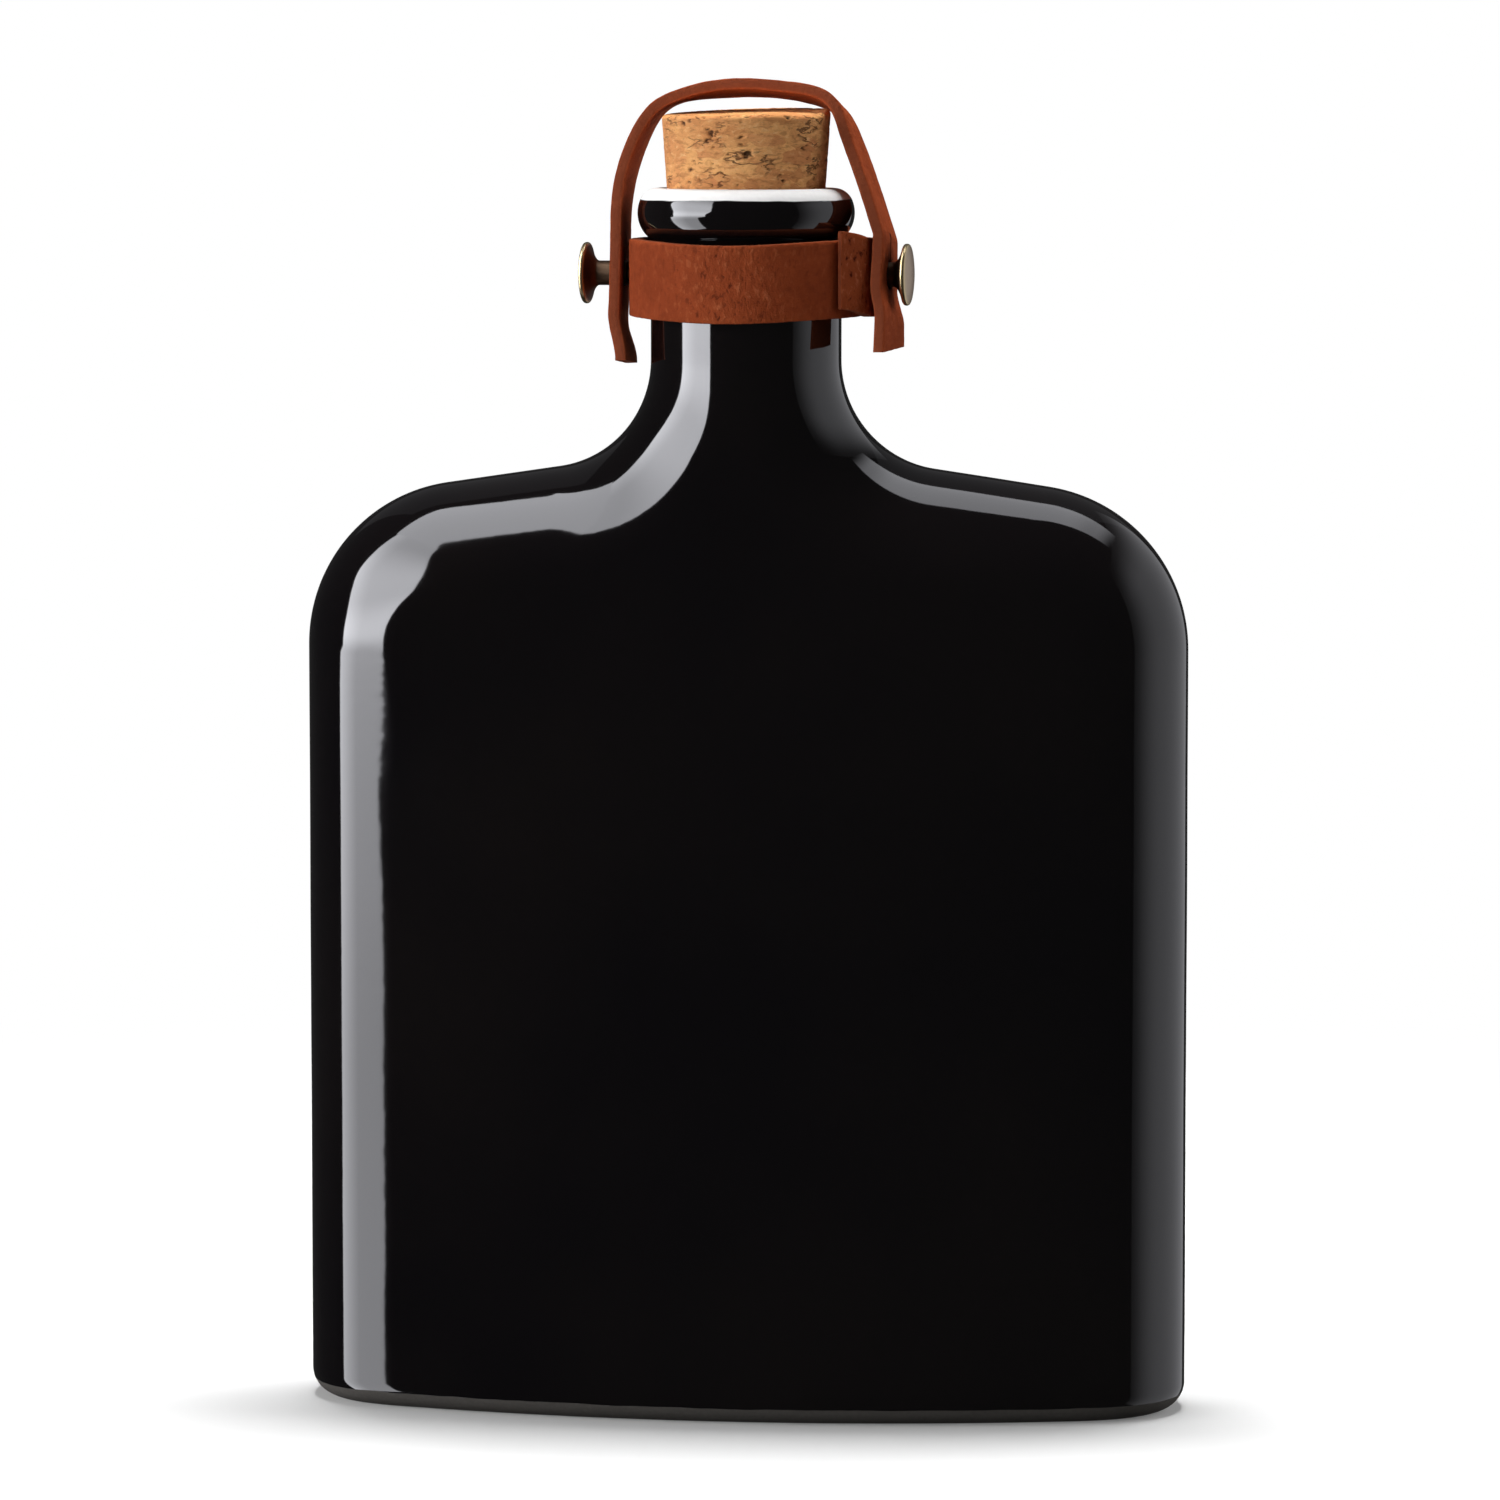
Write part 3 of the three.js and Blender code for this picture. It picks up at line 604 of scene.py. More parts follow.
# %% The rule of the wall
def wall_recipe(material):
    """A shell whose thickness follows the distance to its outline."""
    r = Recipe("ceramic_wall", half_width=1.0, rim=1.0, neck=1.0, neck_start=1.0, corner=1.0, low_x=1.0, low_z=1.0,
               swell=(BODY_DEPTH / 2 - RIM_RADIUS) * MM, crown_start=CROWN_START * MM, blend_run=2 * RIM_RADIUS * MM,
               shoulder_start=SHOULDER_START * MM, face_softness=0.5 * MM, crest_softness=9 * MM,
               sides=BODY_SIDES, base_rows=20, points=1)
    rows = r["base_rows"] + r["points"]
    grid = r.node("GeometryNodeMeshGrid", {"Size X": 1.0, "Size Y": 1.0, "Vertices X": r["sides"] + 1,
                                           "Vertices Y": rows})
    u, v, _ = parts_of(r.tree, r.position())
    row = ((v + 0.5) * (rows - 1)).op("ROUND")
    point = (row - r["base_rows"]).op("MAXIMUM", 0)
    shrink = (row / r["base_rows"]).clamp()
    turn = (u + 0.5) * (2 * math.pi)

    ex, _, ez = parts_of(r.tree, r.at_point(r.position(), point, "FLOAT_VECTOR"))
    ox, _, oz = parts_of(r.tree, r.at_point(r.named("out", "FLOAT_VECTOR"), point, "FLOAT_VECTOR"))
    middle = r.at_point(r.named("middle"), point)

    t = 1 - turn.op("COSINE").op("ABSOLUTE")
    b0, b1, b2, b3 = (1 - t) ** 3, 3 * (1 - t) ** 2 * t, 3 * (1 - t) * t**2, t**3
    reach = 0.35 * (ex**2 + (ez - middle) ** 2).root()
    x = b0 * ex + b1 * (ex - reach * ox) + b2 * ex / 3
    z = b0 * ez + b1 * (ez - reach * oz) + (b2 + b3) * middle

    on_shoulder = ez.op("GREATER_THAN", r["crown_start"]) * ez.op("LESS_THAN", r["neck_start"] - 1e-6)
    near = r.node("GeometryNodeProximity", {"Geometry": r.chain, "Sample Position": vector_of(r.tree, x, 0.0, z)},
                  target_element="EDGES")
    depth = on_shoulder * Field(r.tree, near.outputs["Distance"]) + (1 - on_shoulder) * (ex - x)
    blend = z.smooth(r["neck_start"] - r["blend_run"], r["neck_start"])
    edge = on_shoulder * (r["rim"] + (r["neck"] - r["rim"]) * blend) + (1 - on_shoulder) * (
        ex - (r["half_width"] - r["rim"]) * ez.op("LESS_THAN", r["shoulder_start"]))
    depth = depth.op("MAXIMUM", 0.0).op("MINIMUM", edge)
    rounding = (edge**2 - (edge - depth) ** 2).root()

    face_radius = ((r["half_width"] - r["rim"]) ** 2 + r["swell"] * (r["swell"] + 2 * r["rim"])) / (2 * r["swell"])
    face = r["swell"] - x**2 / (2 * face_radius)
    face = (face + (face**2 + r["face_softness"] ** 2).root()) / 2
    soft_x = (x**2 + r["crest_softness"] ** 2).root()
    on_corner = (soft_x - r["half_width"] + r["corner"]).op("MINIMUM", r["corner"])
    on_slope = soft_x.op("LESS_THAN", r["low_x"])
    crest = on_slope * (r["low_z"] + (r["low_x"] - soft_x) * math.tan(SLOPE)) + (1 - on_slope) * (
        r["shoulder_start"] + (r["corner"] ** 2 - on_corner**2).root())
    rise = ((z - r["crown_start"]) / (crest - r["crown_start"])).clamp()
    y = rounding + face * (1 - rise**4) ** 2

    place = vector_of(r.tree, x * turn.op("COSINE").op("SIGN") * shrink, y * turn.op("SINE").op("SIGN") * shrink, z)
    shell = r.node("GeometryNodeSetPosition", {"Geometry": grid.outputs["Mesh"], "Position": place})
    welded = r.node("GeometryNodeMergeByDistance", {"Geometry": shell, "Distance": 0.0005 * MM})
    return r.close(welded, material)


ceramic_wall = wall_recipe(black_glaze)
print("the wall's rule has", len(ceramic_wall.tree.nodes), "nodes")

# %% Outside and inside of the body, welded at the mouth
def grow_wall(name, shape, points, rim):
    out, middle = ring_starts(shape, points)
    skin = chain(name, [(x, 0, z) for x, z in points], out=out, middle=middle)
    return grow(skin, ceramic_wall, half_width=shape["half_width"] * MM, rim=rim * MM, neck=shape["neck"] * MM,
                neck_start=shape["neck_start"] * MM, corner=shape["corner"] * MM, low_x=shape["low"][0] * MM,
                low_z=shape["low"][1] * MM, points=len(points))


def weld(piece, others):
    """Joins meshes into one skin that faces outwards, and counts the edges that stay open."""
    skin = bmesh.new()
    for obj in (piece, *others):
        skin.from_mesh(obj.data)
    bmesh.ops.remove_doubles(skin, verts=skin.verts, dist=0.002 * MM)
    bmesh.ops.recalc_face_normals(skin, faces=skin.faces)
    open_edges = sum(not edge.is_manifold for edge in skin.edges)
    skin.to_mesh(piece.data)
    skin.free()
    for obj in others:
        bpy.data.objects.remove(obj)
    return open_edges


ceramic_body = grow_wall("ceramic_body", outer, outside, RIM_RADIUS)
body_inside = grow_wall("body_inside", inner, inside, RIM_RADIUS - WALL)
# Rings start and end on the right side, where a seam under 0.05 mm wide stays open up to the shoulder.
print("open edges after welding:", weld(ceramic_body, [body_inside]))

# %% [markdown]
# Slip is poured and the glaze runs, so no cast flask is quite true. A slow ripple of a few hundredths of a
# millimetre is enough to bend the reflections a little. It fades out at the base, which is ground flat.

# %% A slow ripple in the casting
def ripple_recipe(material):
    r = Recipe("casting_ripple", height=0.05 * MM, run=24.0, flat_below=2 * MM, full_above=14 * MM)
    z = parts_of(r.tree, r.position())[2]
    swell = (noise(r.tree, r.position(), r["run"], detail=1.0) - 0.5) * 2 * r["height"]
    moved = r.lift(r.chain, swell * z.smooth(r["flat_below"], r["full_above"]))
    return r.close(moved, material)


grow(ceramic_body, ripple_recipe(black_glaze))
settle(ceramic_body, "flask", ["flask_body"])

# %% [markdown]
# ## The cork
# The cork is a cone's slice: a profile turned about its axis. Turning is also how the studs and screws are made, so
# it is one helper: a grid wrapped round the axis, whose rows take their radius and height from the profile's points.
# A noise then dents the surface where its value is high, and leaves that value on the mesh as pit. The top was cut
# by hand and slopes a little, up to the back right, and its front right corner is worn.

# %% A profile turned about its axis
def turned(r):
    """The chain turned about Z; its point's x is the radius."""
    grid = r.node("GeometryNodeMeshGrid", {"Size X": 1.0, "Size Y": 1.0, "Vertices X": r["sides"] + 1,
                                           "Vertices Y": r["points"]})
    u, v, _ = parts_of(r.tree, r.position())
    point = ((v + 0.5) * (r["points"] - 1)).op("ROUND")
    turn = (u + 0.5) * (2 * math.pi)
    radius, _, height = parts_of(r.tree, r.at_point(r.position(), point, "FLOAT_VECTOR"))
    place = vector_of(r.tree, radius * turn.op("COSINE"), radius * turn.op("SINE"), height)
    worn = r.at_point(r.named("worn"), point)
    kept = r.store(grid.outputs["Mesh"], "worn", worn)
    shell = r.node("GeometryNodeSetPosition", {"Geometry": kept, "Position": place})
    return r.node("GeometryNodeMergeByDistance", {"Geometry": shell, "Distance": 0.0005 * MM})


def facing_out(piece):
    """Turns every face of a closed piece outwards."""
    skin = bmesh.new()
    skin.from_mesh(piece.data)
    bmesh.ops.recalc_face_normals(skin, faces=skin.faces)
    skin.to_mesh(piece.data)
    skin.free()
    return piece


print("turning ready")

# %% Cork
def cork_profile():
    low, high = CORK_BOTTOM + CORK_EDGE, CORK_TOP - CORK_EDGE
    points = [(0, CORK_BOTTOM)] + line((0, CORK_BOTTOM), (cork_radius(low) - CORK_EDGE, CORK_BOTTOM), 10)
    points += arc((cork_radius(low) - CORK_EDGE, low), CORK_EDGE, -90, 0, 5)
    points += line(points[-1], (cork_radius(high), high), 124)
    points += arc((cork_radius(high) - CORK_EDGE, high), CORK_EDGE, 0, 90, 6)
    return points + line(points[-1], (0, CORK_TOP), 46)


PORE_GROUP, CRUMB, CRUMB_HEIGHT = 5, 0.7, 0.12  # how far apart pores crowd, and the fine crumbs of the cork


def cork_recipe(material):
    r = Recipe("turned_cork", sides=360, points=1, top=CORK_TOP * MM, slope_run=3 * MM, raised=0.2 * MM,
               slope_x=0.03, slope_y=0.035, worn_corner=0.5 * MM, pore=2.3, pore_flatness=1.9,
               pit_depth=0.45 * MM, seed=9.0)
    body = turned(r)
    x, y, z = parts_of(r.tree, r.position())
    near_top = (z - r["top"] + r["slope_run"]).clamp(0.0, 1.0) / r["slope_run"]
    worn = x.smooth(3 * MM, 10 * MM) * (1 - y.smooth(-6 * MM, 3 * MM)) * r["worn_corner"]
    slope = (x * r["slope_x"] + y * r["slope_y"] + r["raised"] - worn) * near_top
    cut = r.node("GeometryNodeSetPosition", {"Geometry": body, "Offset": vector_of(r.tree, 0.0, 0.0, slope)})
    flattened = vector_of(r.tree, x, y, z * r["pore_flatness"])
    pores = noise(r.tree, flattened, r["pore"], detail=3.0, roughness=0.6, seed=r["seed"])
    crowd = noise(r.tree, r.position(), PORE_GROUP, detail=1.0, seed=r["seed"]).ramp(0.3, 0.7)
    pit = (pores + crowd * 0.08).ramp(0.66, 0.74)
    crumbs = (noise(r.tree, r.position(), CRUMB, detail=3.0) - 0.62) * CRUMB_HEIGHT * MM
    return r.close(r.lift(r.store(cut, "pit", pit), pit * -1 * r["pit_depth"] + crumbs), material)


profile = cork_profile()
cork = chain("cork", [(radius, 0, z) for radius, z in profile])
facing_out(grow(cork, cork_recipe(bare_cork), points=len(profile)))
settle(cork, "cork", ["cork_stopper"])

# %% [markdown]
# ## Leather strips
# Collar and strap are cut from the same hide, about as wide as a finger nail is long. Both are a flat section that
# follows a path: the collar's path winds once round the neck and on over its own start, and the strap's is an arch
# over the cork. The section is a rectangle with rounded corners, swept along the path, and a fine noise takes the
# machine look off its faces. Holes and slits are cut by a boolean, in the same tree.

# %% Sizes of the leather and the studs
LEATHER_WIDTH, LEATHER_GRAIN = 9.4, 1.8
COLLAR_THICKNESS, STRAP_THICKNESS = 1.7, 1.4
COLLAR_GAP, COLLAR_DROP = 0.95, 6.1
COLLAR_TURN = math.radians(-4.5)
OVERLAP_FRONT, OVERLAP_BACK, OVERLAP_RAMP = 29, 32, 60
STRAP_LEAN = math.radians(8.8)
SLIT_LENGTH, SLIT_WIDTH = 5, 0.5
STUD_RISE, STEM_RADIUS = 0.4, 1.5
SCREW_RADIUS, SCREW_HEAD_RADIUS, SCREW_HEAD_THICKNESS, SCREW_GRIP = 0.75, 2.75, 0.8, 3

COLLAR_TOP = LIP_TOP - COLLAR_DROP
COLLAR_INNER = NECK_RADIUS + COLLAR_GAP
COLLAR_OUTER = COLLAR_INNER + COLLAR_THICKNESS
COLLAR_MIDDLE = COLLAR_TOP - LEATHER_WIDTH / 2
OVERLAP_LIFT = COLLAR_THICKNESS + FIT_GAP
STUD_HEIGHT = COLLAR_MIDDLE + STUD_RISE
LEG_LEFT = COLLAR_OUTER + FIT_GAP + STRAP_THICKNESS / 2
LEG_RIGHT = LEG_LEFT + OVERLAP_LIFT
HOLE_RADIUS = STEM_RADIUS + FIT_GAP
print("studs at", round(STUD_HEIGHT, 2), "mm, strap legs at", round(LEG_LEFT, 2), "and", round(LEG_RIGHT, 2), "mm")

# %% A strip that follows a path
def strip_recipe(name, material, cutters, thickness):
    """A leather strip along the chain, which lies flat in X and Y; cutters adds what is taken out of it."""
    r = Recipe(name, width=LEATHER_WIDTH * MM, thickness=thickness * MM, corner=0.28 * MM, path_step=0.3 * MM,
               section_points=84, roughness=0.07 * MM, seed=2.0)
    section = r.node("GeometryNodeCurvePrimitiveQuadrilateral", {"Width": r["thickness"], "Height": r["width"]})
    rounded = r.node("GeometryNodeFilletCurve", {"Curve": section, "Radius": r["corner"]}, mode="POLY")
    rounded.inputs["Count"].default_value = 4
    even = r.node("GeometryNodeResampleCurve", {"Curve": rounded, "Count": r["section_points"]})
    sx, sy, _ = parts_of(r.tree, r.position())
    kept = r.store(even, "face", sx * -2 / r["thickness"])
    kept = r.store(kept, "across", sy * 2 / r["width"])

    path = r.node("GeometryNodeMeshToCurve", {"Mesh": r.chain})
    stepped = r.node("GeometryNodeResampleCurve", {"Curve": path, "Length": r["path_step"]}, mode="LENGTH")
    upright = r.node("GeometryNodeSetCurveNormal", {"Curve": stepped}, mode="Z_UP")
    twisted = r.node("GeometryNodeSetCurveTilt", {"Curve": upright, "Tilt": r.named("twist")})
    measured = r.store(twisted, "along", r.node("GeometryNodeSplineParameter").outputs["Length"])
    swept = r.node("GeometryNodeCurveToMesh", {"Curve": measured, "Profile Curve": kept, "Fill Caps": True})

    grain = noise(r.tree, r.position(), LEATHER_GRAIN, detail=3.0, roughness=0.6, seed=r["seed"])
    rough = r.lift(swept, (grain - 0.55) * 2 * r["roughness"])
    x, y, z = parts_of(r.tree, r.position())
    pared, slant, up, face = (r.named(label) for label in ("pared", "slant", "raise", "face"))
    inwards = pared * MM * (face + 1) / 2 / (x**2 + y**2).root()
    shaped = r.node("GeometryNodeSetPosition", {"Geometry": rough, "Offset": vector_of(
        r.tree, x * inwards * -1, y * inwards * -1 - slant * z, up * MM)})
    holed = r.node("GeometryNodeMeshBoolean", {"Mesh 1": shaped}, operation="DIFFERENCE", solver="EXACT")
    for cutter in cutters(r):
        plug(r.tree, holed.inputs["Mesh 2"], cutter)
    return r.close(holed, material)


def rod_cutter(r, radius, start, end):
    """A round cutter along X, in millimetres."""
    rod = r.node("GeometryNodeMeshCylinder", {"Vertices": 40, "Radius": radius * MM, "Depth": (end - start) * MM})
    return r.node("GeometryNodeTransform", {"Geometry": rod.outputs["Mesh"], "Rotation": (0, math.pi / 2, 0),
                                            "Translation": ((start + end) / 2 * MM, 0, 0)})


def block_cutter(r, low, high):
    size = Vector(high) - Vector(low)
    block = r.node("GeometryNodeMeshCube", {"Size": size * MM})
    return r.node("GeometryNodeTransform", {"Geometry": block.outputs["Mesh"], "Translation":
                                            (Vector(low) + Vector(high)) / 2 * MM})


def crisp(piece, degrees=38):
    """Keeps cut edges sharp where the rest is shaded smooth."""
    piece.data.set_sharp_from_angle(angle=math.radians(degrees))
    return piece


print("strip recipe ready")

# %% [markdown]
# The collar's outer end is a tab that stands a little higher than the rest, because the buttoned end was pulled up
# past the stud, and the front sags a little. The chain's points carry both as a value named raise. The tab's end is
# pared thin, as a saddler does where two layers meet, and where the front has been handled its nap is scuffed. The
# tab carries a higher value of that wear still, which is painted light: it makes the tab paler, as if lit from the
# right.

# %% What is cut from the collar
def smoothstep(value, low, high):
    t = np.clip((np.asarray(value, float) - low) / (high - low), 0, 1)
    return t * t * (3 - 2 * t)


def collar_cutters(r):
    hole, past = SCREW_RADIUS + FIT_GAP, COLLAR_OUTER + OVERLAP_LIFT + 2
    between = COLLAR_OUTER + FIT_GAP / 2
    seat = NECK_RADIUS + 2 * FIT_GAP + SCREW_HEAD_THICKNESS
    to_studs = (0, 0, STUD_RISE * MM)  # the chain lies at the collar's middle, and the studs a little higher
    rods = [rod_cutter(r, hole, NECK_RADIUS, between), rod_cutter(r, hole, -between, -NECK_RADIUS),
            rod_cutter(r, SCREW_HEAD_RADIUS + FIT_GAP, NECK_RADIUS - 1, seat),
            rod_cutter(r, SCREW_HEAD_RADIUS + FIT_GAP, -seat, 1 - NECK_RADIUS),
            rod_cutter(r, HOLE_RADIUS, between, past),
            block_cutter(r, (between, 0, -SLIT_WIDTH / 2), (past, SLIT_LENGTH, SLIT_WIDTH / 2))]
    return [r.node("GeometryNodeTransform", {"Geometry": rod, "Translation": to_studs}) for rod in rods]


print("the collar is cut for two screws and their heads, a button hole and its slit")

# %% Neck collar
def bell(value, middle, width):
    return np.exp(-(((value - middle) / width) ** 2))


TAB_RAISE, TAB_PARED, FRONT_SAG = 1.1, 1.15, 0.55
TAB_START = 360 + OVERLAP_BACK  # in degrees wound from the inner end; the front is near 120
TAB_END = TAB_START + OVERLAP_FRONT
wound = np.linspace(0, TAB_END, 430)
bearing = np.radians(OVERLAP_BACK - wound)
radius = (COLLAR_INNER + COLLAR_OUTER) / 2 + OVERLAP_LIFT * smoothstep(wound, 360 - OVERLAP_RAMP, 360)
tab = TAB_RAISE * smoothstep(wound, TAB_START + 4, TAB_END)
sag = -FRONT_SAG * bell(wound, 122, 42)
pared = TAB_PARED * smoothstep(wound, TAB_END - 14, TAB_END)
# the bell at the front is handling wear; the term at the tab is painted light, which makes the tab paler, as if lit
# from the right
rubbed = 0.15 + 0.85 * bell(wound, 118, 28) + 1.2 * smoothstep(wound, TAB_START, TAB_START + 14)
collar_leather = chain("collar_leather", [(r * math.cos(a), r * math.sin(a), 0) for r, a in zip(radius, bearing)],
                       **{"raise": tab + sag, "pared": pared, "rubbed": rubbed})
facing_out(grow(collar_leather, strip_recipe("collar_strip", oiled_leather, collar_cutters, COLLAR_THICKNESS)))
collar_leather.data.transform(Matrix.Rotation(COLLAR_TURN, 4, "Z") @ Matrix.Translation((0, 0, COLLAR_MIDDLE * MM)))
settle(crisp(collar_leather), "collar", ["neck_collar"])

# %% [markdown]
# The strap's arch is drawn flat: a tail and a straight leg at each stud, an arc that just clears the cork's edge
# when the strap swings, and a curve between. Leather settles, so the bends are evened out, the legs twist a few
# degrees on their studs, and the tails are cut a little aslant. Then it is stood up, leaned to the back as it
# rests, and turned with the collar.

# %% Path of the strap
LEFT_TAIL, RIGHT_TAIL, TAIL_BEND = 5.9, 4.1, 1.2
SWING_GAP = 0.25  # between the arch and the cork's edge


def bezier(points, steps):
    """Points on a cubic curve, without its first point."""
    p0, p1, p2, p3 = (np.array(p, float) for p in points)
    t = np.linspace(0, 1, steps + 1)[1:, None]
    return [tuple(p) for p in (1 - t) ** 3 * p0 + 3 * (1 - t) ** 2 * t * p1 + 3 * (1 - t) * t**2 * p2 + t**3 * p3]


def strap_path():
    leg_margin, lean, lean_run, climb, ease, past_rim = 0.2, 0.34, 2.9, 7.3, 2.3, math.radians(0.7)
    above = COLLAR_TOP - STUD_HEIGHT + leg_margin
    below = STUD_HEIGHT - (COLLAR_TOP - LEATHER_WIDTH) + leg_margin
    left_end, right_end = -below - LEFT_TAIL + leg_margin, -below - RIGHT_TAIL + leg_margin
    rim = (cork_radius(CORK_TOP - CORK_EDGE) - CORK_EDGE, CORK_TOP - CORK_EDGE - STUD_HEIGHT)
    crown = math.hypot(*rim) + CORK_EDGE + SWING_GAP + STRAP_THICKNESS / 2
    half = math.atan2(*rim) + past_rim
    cx, cz = crown * math.sin(half), crown * math.cos(half)
    dx, dz = ease * math.cos(half), ease * math.sin(half)
    handle = (-below - left_end) / 3
    tip, leg = (-LEG_LEFT + TAIL_BEND, left_end), (-LEG_LEFT, -below)
    points = [tip] + bezier([tip, (tip[0], left_end + handle), (-LEG_LEFT, -below - handle), leg], 24)
    points += line(leg, (-LEG_LEFT, above), 20)
    points += bezier([(-LEG_LEFT, above), (-LEG_LEFT, above + climb), (-cx - dx, cz - dz), (-cx, cz)], 60)
    points += arc((0, 0), crown, 90 + math.degrees(half), 90 - math.degrees(half), 60)
    points += bezier([(cx, cz), (cx + dx, cz - dz), (LEG_RIGHT - lean * lean_run, above + lean_run),
                      (LEG_RIGHT, above)], 60)
    points += line((LEG_RIGHT, above), (LEG_RIGHT, -below), 20)
    return points + line((LEG_RIGHT, -below), (LEG_RIGHT, right_end), 24)


print("the strap is", round(run_along(np.array(strap_path()))[-1], 1), "mm long when drawn")

# %% How the leather settles
def evened(rows, spread):
    """Rows of values along the path, each averaged with its neighbours over about spread rows."""
    reach = np.arange(-3 * spread, 3 * spread + 1)
    weight = np.exp(-((reach / spread) ** 2) / 2)
    padded = np.pad(rows, ((3 * spread, 3 * spread), (0, 0)), mode="edge")
    return sum(w * padded[k:k + len(rows)] for k, w in enumerate(weight / weight.sum()))


def around_arch(at, knots):
    """A value that follows how far round the studs the path has come: 0 over the cork, 90 level with the studs."""
    return evened(np.interp(np.degrees(np.arctan2(at[:, 0], at[:, 1])), *zip(*knots))[:, None], 8)


PATH_POINTS, BEND_SPREAD = 400, 10
LEG_OUT, TAIL_OUT = 0.7, 0.8
EASED_OUT = ((-70, -0.2), (-50, 0.45), (-36, 0.98), (-28, 1.28), (-20, 0.69), (-8, 0.17), (8, 0.1), (18, 0.43),
             (26.5, 0.95), (36, -0.38), (50, -0.29), (70, -0.18))  # degrees round the arch, and millimetres


def settled(points):
    """The path as worn leather takes it: bends evened out, then eased off the cork, and its legs a little apart."""
    at = np.array(points)
    run = run_along(at)
    even = np.linspace(0, run[-1], PATH_POINTS)
    at = np.stack([np.interp(even, run, at[:, k]) for k in (0, 1)], axis=1)
    above = smoothstep(at[:, 1], 6, 10)[:, None]
    at = at * (1 - above) + evened(at, BEND_SPREAD) * above
    off = around_arch(at, EASED_OUT)
    at = at * (1 + off / np.linalg.norm(at, axis=1)[:, None])
    at[:, 0] -= LEG_OUT * (at[:, 0] < 0) * (1 - smoothstep(at[:, 1], 9, 20))
    at[:, 0] += TAIL_OUT * (at[:, 0] > 0) * smoothstep(-at[:, 1], 1.5, 6)
    return at


path = settled(strap_path())
print("settled, it is", round(run_along(path)[-1], 1), "mm long")

# %% Strap over the cork
def strap_cutters(r):
    near, far = LEG_LEFT - STRAP_THICKNESS, LEG_RIGHT + 2 * STRAP_THICKNESS
    low, high = (0, -SLIT_WIDTH / 2), (SLIT_LENGTH, SLIT_WIDTH / 2)
    return [rod_cutter(r, HOLE_RADIUS, -far, -near), block_cutter(r, (-far, *low), (-near, *high)),
            rod_cutter(r, HOLE_RADIUS, near, far), block_cutter(r, (near, *low), (far, *high))]


LEG_TWIST = ((-126, 3.6), (-117, 4.7), (-108, 5.6), (-80, 4.7), (-55, 4.9), (-38, 6.5), (-26, 11.5), (-12, 3.0),
             (0, 2.0), (12, 2.0), (26, -3.6), (38, 1.0), (55, 0.2), (80, 0.7), (100, 2.9), (112, 5.4))  # in degrees
LEFT_SLANT, RIGHT_SLANT = 0.08, 0.19  # rise over run of the tails' ends
twist = around_arch(path, LEG_TWIST)[:, 0]
slant = np.where(path[:, 0] < 0, LEFT_SLANT * smoothstep(-path[:, 1], 4, 10),
                 RIGHT_SLANT * smoothstep(-path[:, 1], 4, 9))
strap_leather = chain("strap_leather", [(x, z, 0) for x, z in path],
                      twist=np.radians(twist), slant=slant,
                      rubbed=0.25 + 0.4 * bell(path[:, 0], 10, 4) * (path[:, 1] > 10))
facing_out(grow(strap_leather, strip_recipe("strap_strip", oiled_leather, strap_cutters, STRAP_THICKNESS), seed=7.0))
strap_leather.data.transform(Matrix.Rotation(COLLAR_TURN, 4, "Z") @ Matrix.Translation((0, 0, STUD_HEIGHT * MM))
                             @ Matrix.Rotation(math.pi / 2 - STRAP_LEAN, 4, "X"))
settle(crisp(strap_leather), "strap", ["stopper_strap"])

# %% [markdown]
# ## Studs and screws
# A button stud is turned: a stem, a flare like a trumpet's, and a thin, slightly domed head. Each is held by a flat
# screw from inside the collar. There are two of each, opposite one another, so one profile is turned once and placed
# twice by Instance on Points.

# %% A pair of turned pieces
def pair_recipe(name, material, slot=None):
    """The chain turned about X, placed to the right and to the left of the neck."""
    r = Recipe(name, sides=96, points=1, height=STUD_HEIGHT * MM, bearing=COLLAR_TURN)
    solid = turned(r)
    if slot:
        solid = r.node("GeometryNodeMeshBoolean", {"Mesh 1": solid, "Mesh 2": block_cutter(r, *slot)},
                       operation="DIFFERENCE", solver="EXACT")
    lying = r.node("GeometryNodeTransform", {"Geometry": solid, "Rotation": (0, math.pi / 2, 0)})
    spots = r.node("GeometryNodeMeshLine", {"Count": 2, "Offset": (0, 0, 0), "Start Location": (0, 0, 0)})
    index = Field(r.tree, r.node("GeometryNodeInputIndex").outputs[0])
    placed = r.node("GeometryNodeInstanceOnPoints", {
        "Points": spots, "Instance": lying,
        "Rotation": vector_of(r.tree, 0.0, 0.0, index * math.pi + r["bearing"])})
    raised = r.node("GeometryNodeTransform", {"Geometry": placed,
                                              "Translation": vector_of(r.tree, 0.0, 0.0, r["height"])})
    return r.close(raised, material)


print("pair recipe ready")

# %% Studs
HEAD_RADIUS, HEAD_EDGE, HEAD_BEVEL, HEAD_DOME, FLARE_LENGTH = 3.75, 0.6, 0.2, 0.4, 1.3
STUD_BASE = COLLAR_OUTER + FIT_GAP
FLARE_START = LEG_RIGHT + STRAP_THICKNESS / 2 + FIT_GAP
HEAD_BACK = FLARE_START + FLARE_LENGTH
HEAD_FACE = HEAD_BACK + HEAD_EDGE


